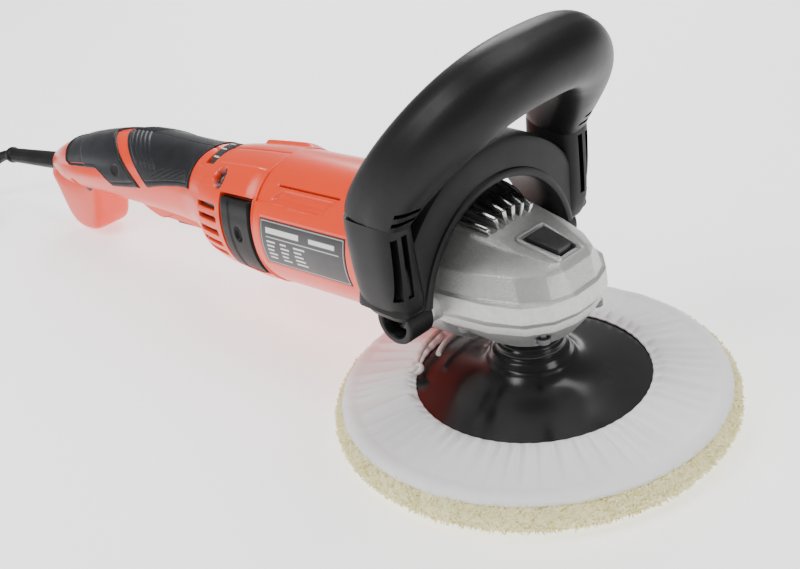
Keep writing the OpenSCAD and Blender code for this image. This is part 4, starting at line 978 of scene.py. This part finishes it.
def makeWool():
    look = {"outer": 98.4, "wrap": 8.2, "level": 8.5, "columns": 720, "clump": 1.1}
    centre, wrap, middle = look["outer"] - look["wrap"], look["wrap"], look["level"]
    arcs = [math.radians(-90 + 180 * k / 22) for k in range(23)]
    profile = [(60, 0.4, False)] + [(centre + wrap * math.cos(a), middle + wrap * math.sin(a), True) for a in arcs]
    profile += [(89.7, 16.7, False), (89.7, 11.6, False), (60, 11.6, False)]
    verts = []
    for radius, level, loose in profile:
        for a in roundAngles(look["columns"]):
            spot = Vector((radius * math.cos(a), radius * math.sin(a), level))
            if loose:
                out = radius - centre
                away = Vector((math.cos(a) * out, math.sin(a) * out, level - middle)).normalized()
                swell = noise.noise(spot * 0.42) * 0.7 + noise.noise(spot * 0.95) * 0.45
                spot += away * look["clump"] * swell
                spot.z = max(spot.z, 0.15)
            verts.append(spot * mm)
    faces = gridFaces(len(profile), look["columns"], True, True)
    makeTufts(makePiece("bonnet_pile", verts, faces, "wool", "spindle_group", ["bonnet_wool"], 80, weld=False))


def tuftTree(inner, lean, sizes):
    sockets = {"Geometry": "Geometry", "Density": "Float", "Lowest": "Float", "Strand": "Object", "Seed": "Int",
               "Finish": "Material"}
    tree, add, given = startTree("tuftField", sockets)
    position = add("GeometryNodeInputPosition").outputs[0]
    split = add("ShaderNodeSeparateXYZ", {0: position})
    high = add("FunctionNodeCompare", {0: split.outputs["Z"], 1: given["Lowest"]})
    flat = add("ShaderNodeVectorMath", {0: position}, {1: (1, 1, 0)}, operation="MULTIPLY")
    out = add("ShaderNodeVectorMath", {0: flat.outputs[0]}, operation="LENGTH")
    far = add("FunctionNodeCompare", {0: out.outputs["Value"]}, {1: inner})
    gate = add("FunctionNodeBooleanMath", {0: high.outputs[0], 1: far.outputs[0]}, operation="AND")
    spread = add("GeometryNodeDistributePointsOnFaces", {"Mesh": given["Geometry"], "Selection": gate.outputs[0],
                                                         "Density": given["Density"], "Seed": given["Seed"]})
    turn = add("FunctionNodeRandomValue", {"Seed": given["Seed"]}, {0: [-a for a in lean], 1: lean},
               data_type="FLOAT_VECTOR")
    size = add("FunctionNodeRandomValue", {"Seed": given["Seed"]}, {2: sizes[0], 3: sizes[1]})
    spin = add("FunctionNodeRotateRotation", {0: spread.outputs["Rotation"], 1: turn.outputs[0]},
               rotation_space="LOCAL")
    strand = add("GeometryNodeObjectInfo", {"Object": given["Strand"]})
    copies = add("GeometryNodeInstanceOnPoints",
                 {"Points": spread.outputs["Points"], "Instance": strand.outputs["Geometry"],
                  "Rotation": spin.outputs[0], "Scale": size.outputs[1]})
    endTree(add, copies.outputs[0], given["Finish"])
    return tree


def makeTufts(pile):
    look = {"density": 620000, "lowest": 0.0035, "seed": 11, "length": 2.1, "thick": 0.4, "inner": 0.0925,
            "lean": (0.7, 0.7, 3.1), "sizes": (0.7, 1.25)}
    rings = [(0, 0, 1.0), (0.55, 0.25, 0.95), (0.9, 1.0, 0.5)]  # height share, lean, thickness share
    verts = []
    for height, lean, thick in rings:
        r = look["thick"] * thick
        for a in roundAngles(3):
            level = height * look["length"] - 0.3
            verts.append(Vector((lean * 0.9 + math.cos(a) * r, math.sin(a) * r, level)) * mm)
    mesh = bpy.data.meshes.new("strand")
    mesh.from_pydata([tuple(v) for v in verts], [], gridFaces(3, 3, True) + [(6, 7, 8)])
    strand = bpy.data.objects.new("strand", mesh)
    piece = addObject("bonnet_tufts", pile.data.copy())
    runTree(piece, tuftTree(look["inner"], look["lean"], look["sizes"]),
            {"Density": look["density"], "Lowest": look["lowest"], "Strand": strand, "Seed": look["seed"],
             "Finish": finishOf["wool"]})
    bpy.data.objects.remove(strand)
    smoothPiece(piece, 80)
    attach(piece, "spindle_group")
    print("tufts", len(piece.data.polygons))


makeHandles()
makeHousing()
makeBrushCovers()
makeGrips()
makeDial()
makeBoot()
print("housing and handle skins made")
makeGearHead()
makeBar()
makeLegs()
makeArch()
print("gear head and D-handle made")
makePad()
makeWool()
makeCloth()
for nodeName, width in (("bearing_cap", 0.7), ("trigger", 1.4), ("lock_on_button", 0.6), ("dust_cover", 0.4)):
    softCopy(nodeName, width)
print("pad, bonnet and small parts made")


def makeStudio():
    look = {"floor": (0.93, 0.93, 0.935), "sky": 0.3, "size": 24.0, "glow": 1.0}
    bpy.ops.mesh.primitive_plane_add(size=look["size"], location=(0, 0, -0.0004))
    floor = bpy.context.object
    floor.name = "studio_floor"
    paper = bpy.data.materials.new("paper")
    paper.use_nodes = True
    for socket, value in (("Base Color", (*look["floor"], 1)), ("Roughness", 0.8), ("Emission Color", (1, 1, 1, 1)),
                          ("Emission Strength", look["glow"])):
        paper.node_tree.nodes["Principled BSDF"].inputs[socket].default_value = value
    floor.data.materials.append(paper)
    world = scene.world = scene.world or bpy.data.worlds.new("studio")
    world.use_nodes = True
    world.node_tree.nodes["Background"].inputs["Color"].default_value = (1, 1, 1, 1)
    world.node_tree.nodes["Background"].inputs["Strength"].default_value = look["sky"]
    lamps = {"key": ((-0.45, -0.95, 1.15), 0.8, 17), "top": ((0.1, 0.45, 1.5), 1.0, 15),
             "rim": ((-0.9, 0.9, 0.8), 0.6, 10), "fill": ((1.3, 0.1, 0.55), 0.5, 4)}
    for name, (place, size, power) in lamps.items():
        lamp = addObject(name, bpy.data.lights.new(name, "AREA"))
        lamp.data.size, lamp.data.energy = size, power
        lamp.location = place
        lamp.rotation_euler = (Vector((-0.12, 0, 0.06)) - Vector(place)).to_track_quat("-Z", "Y").to_euler()


makeStudio()
print("studio lit")
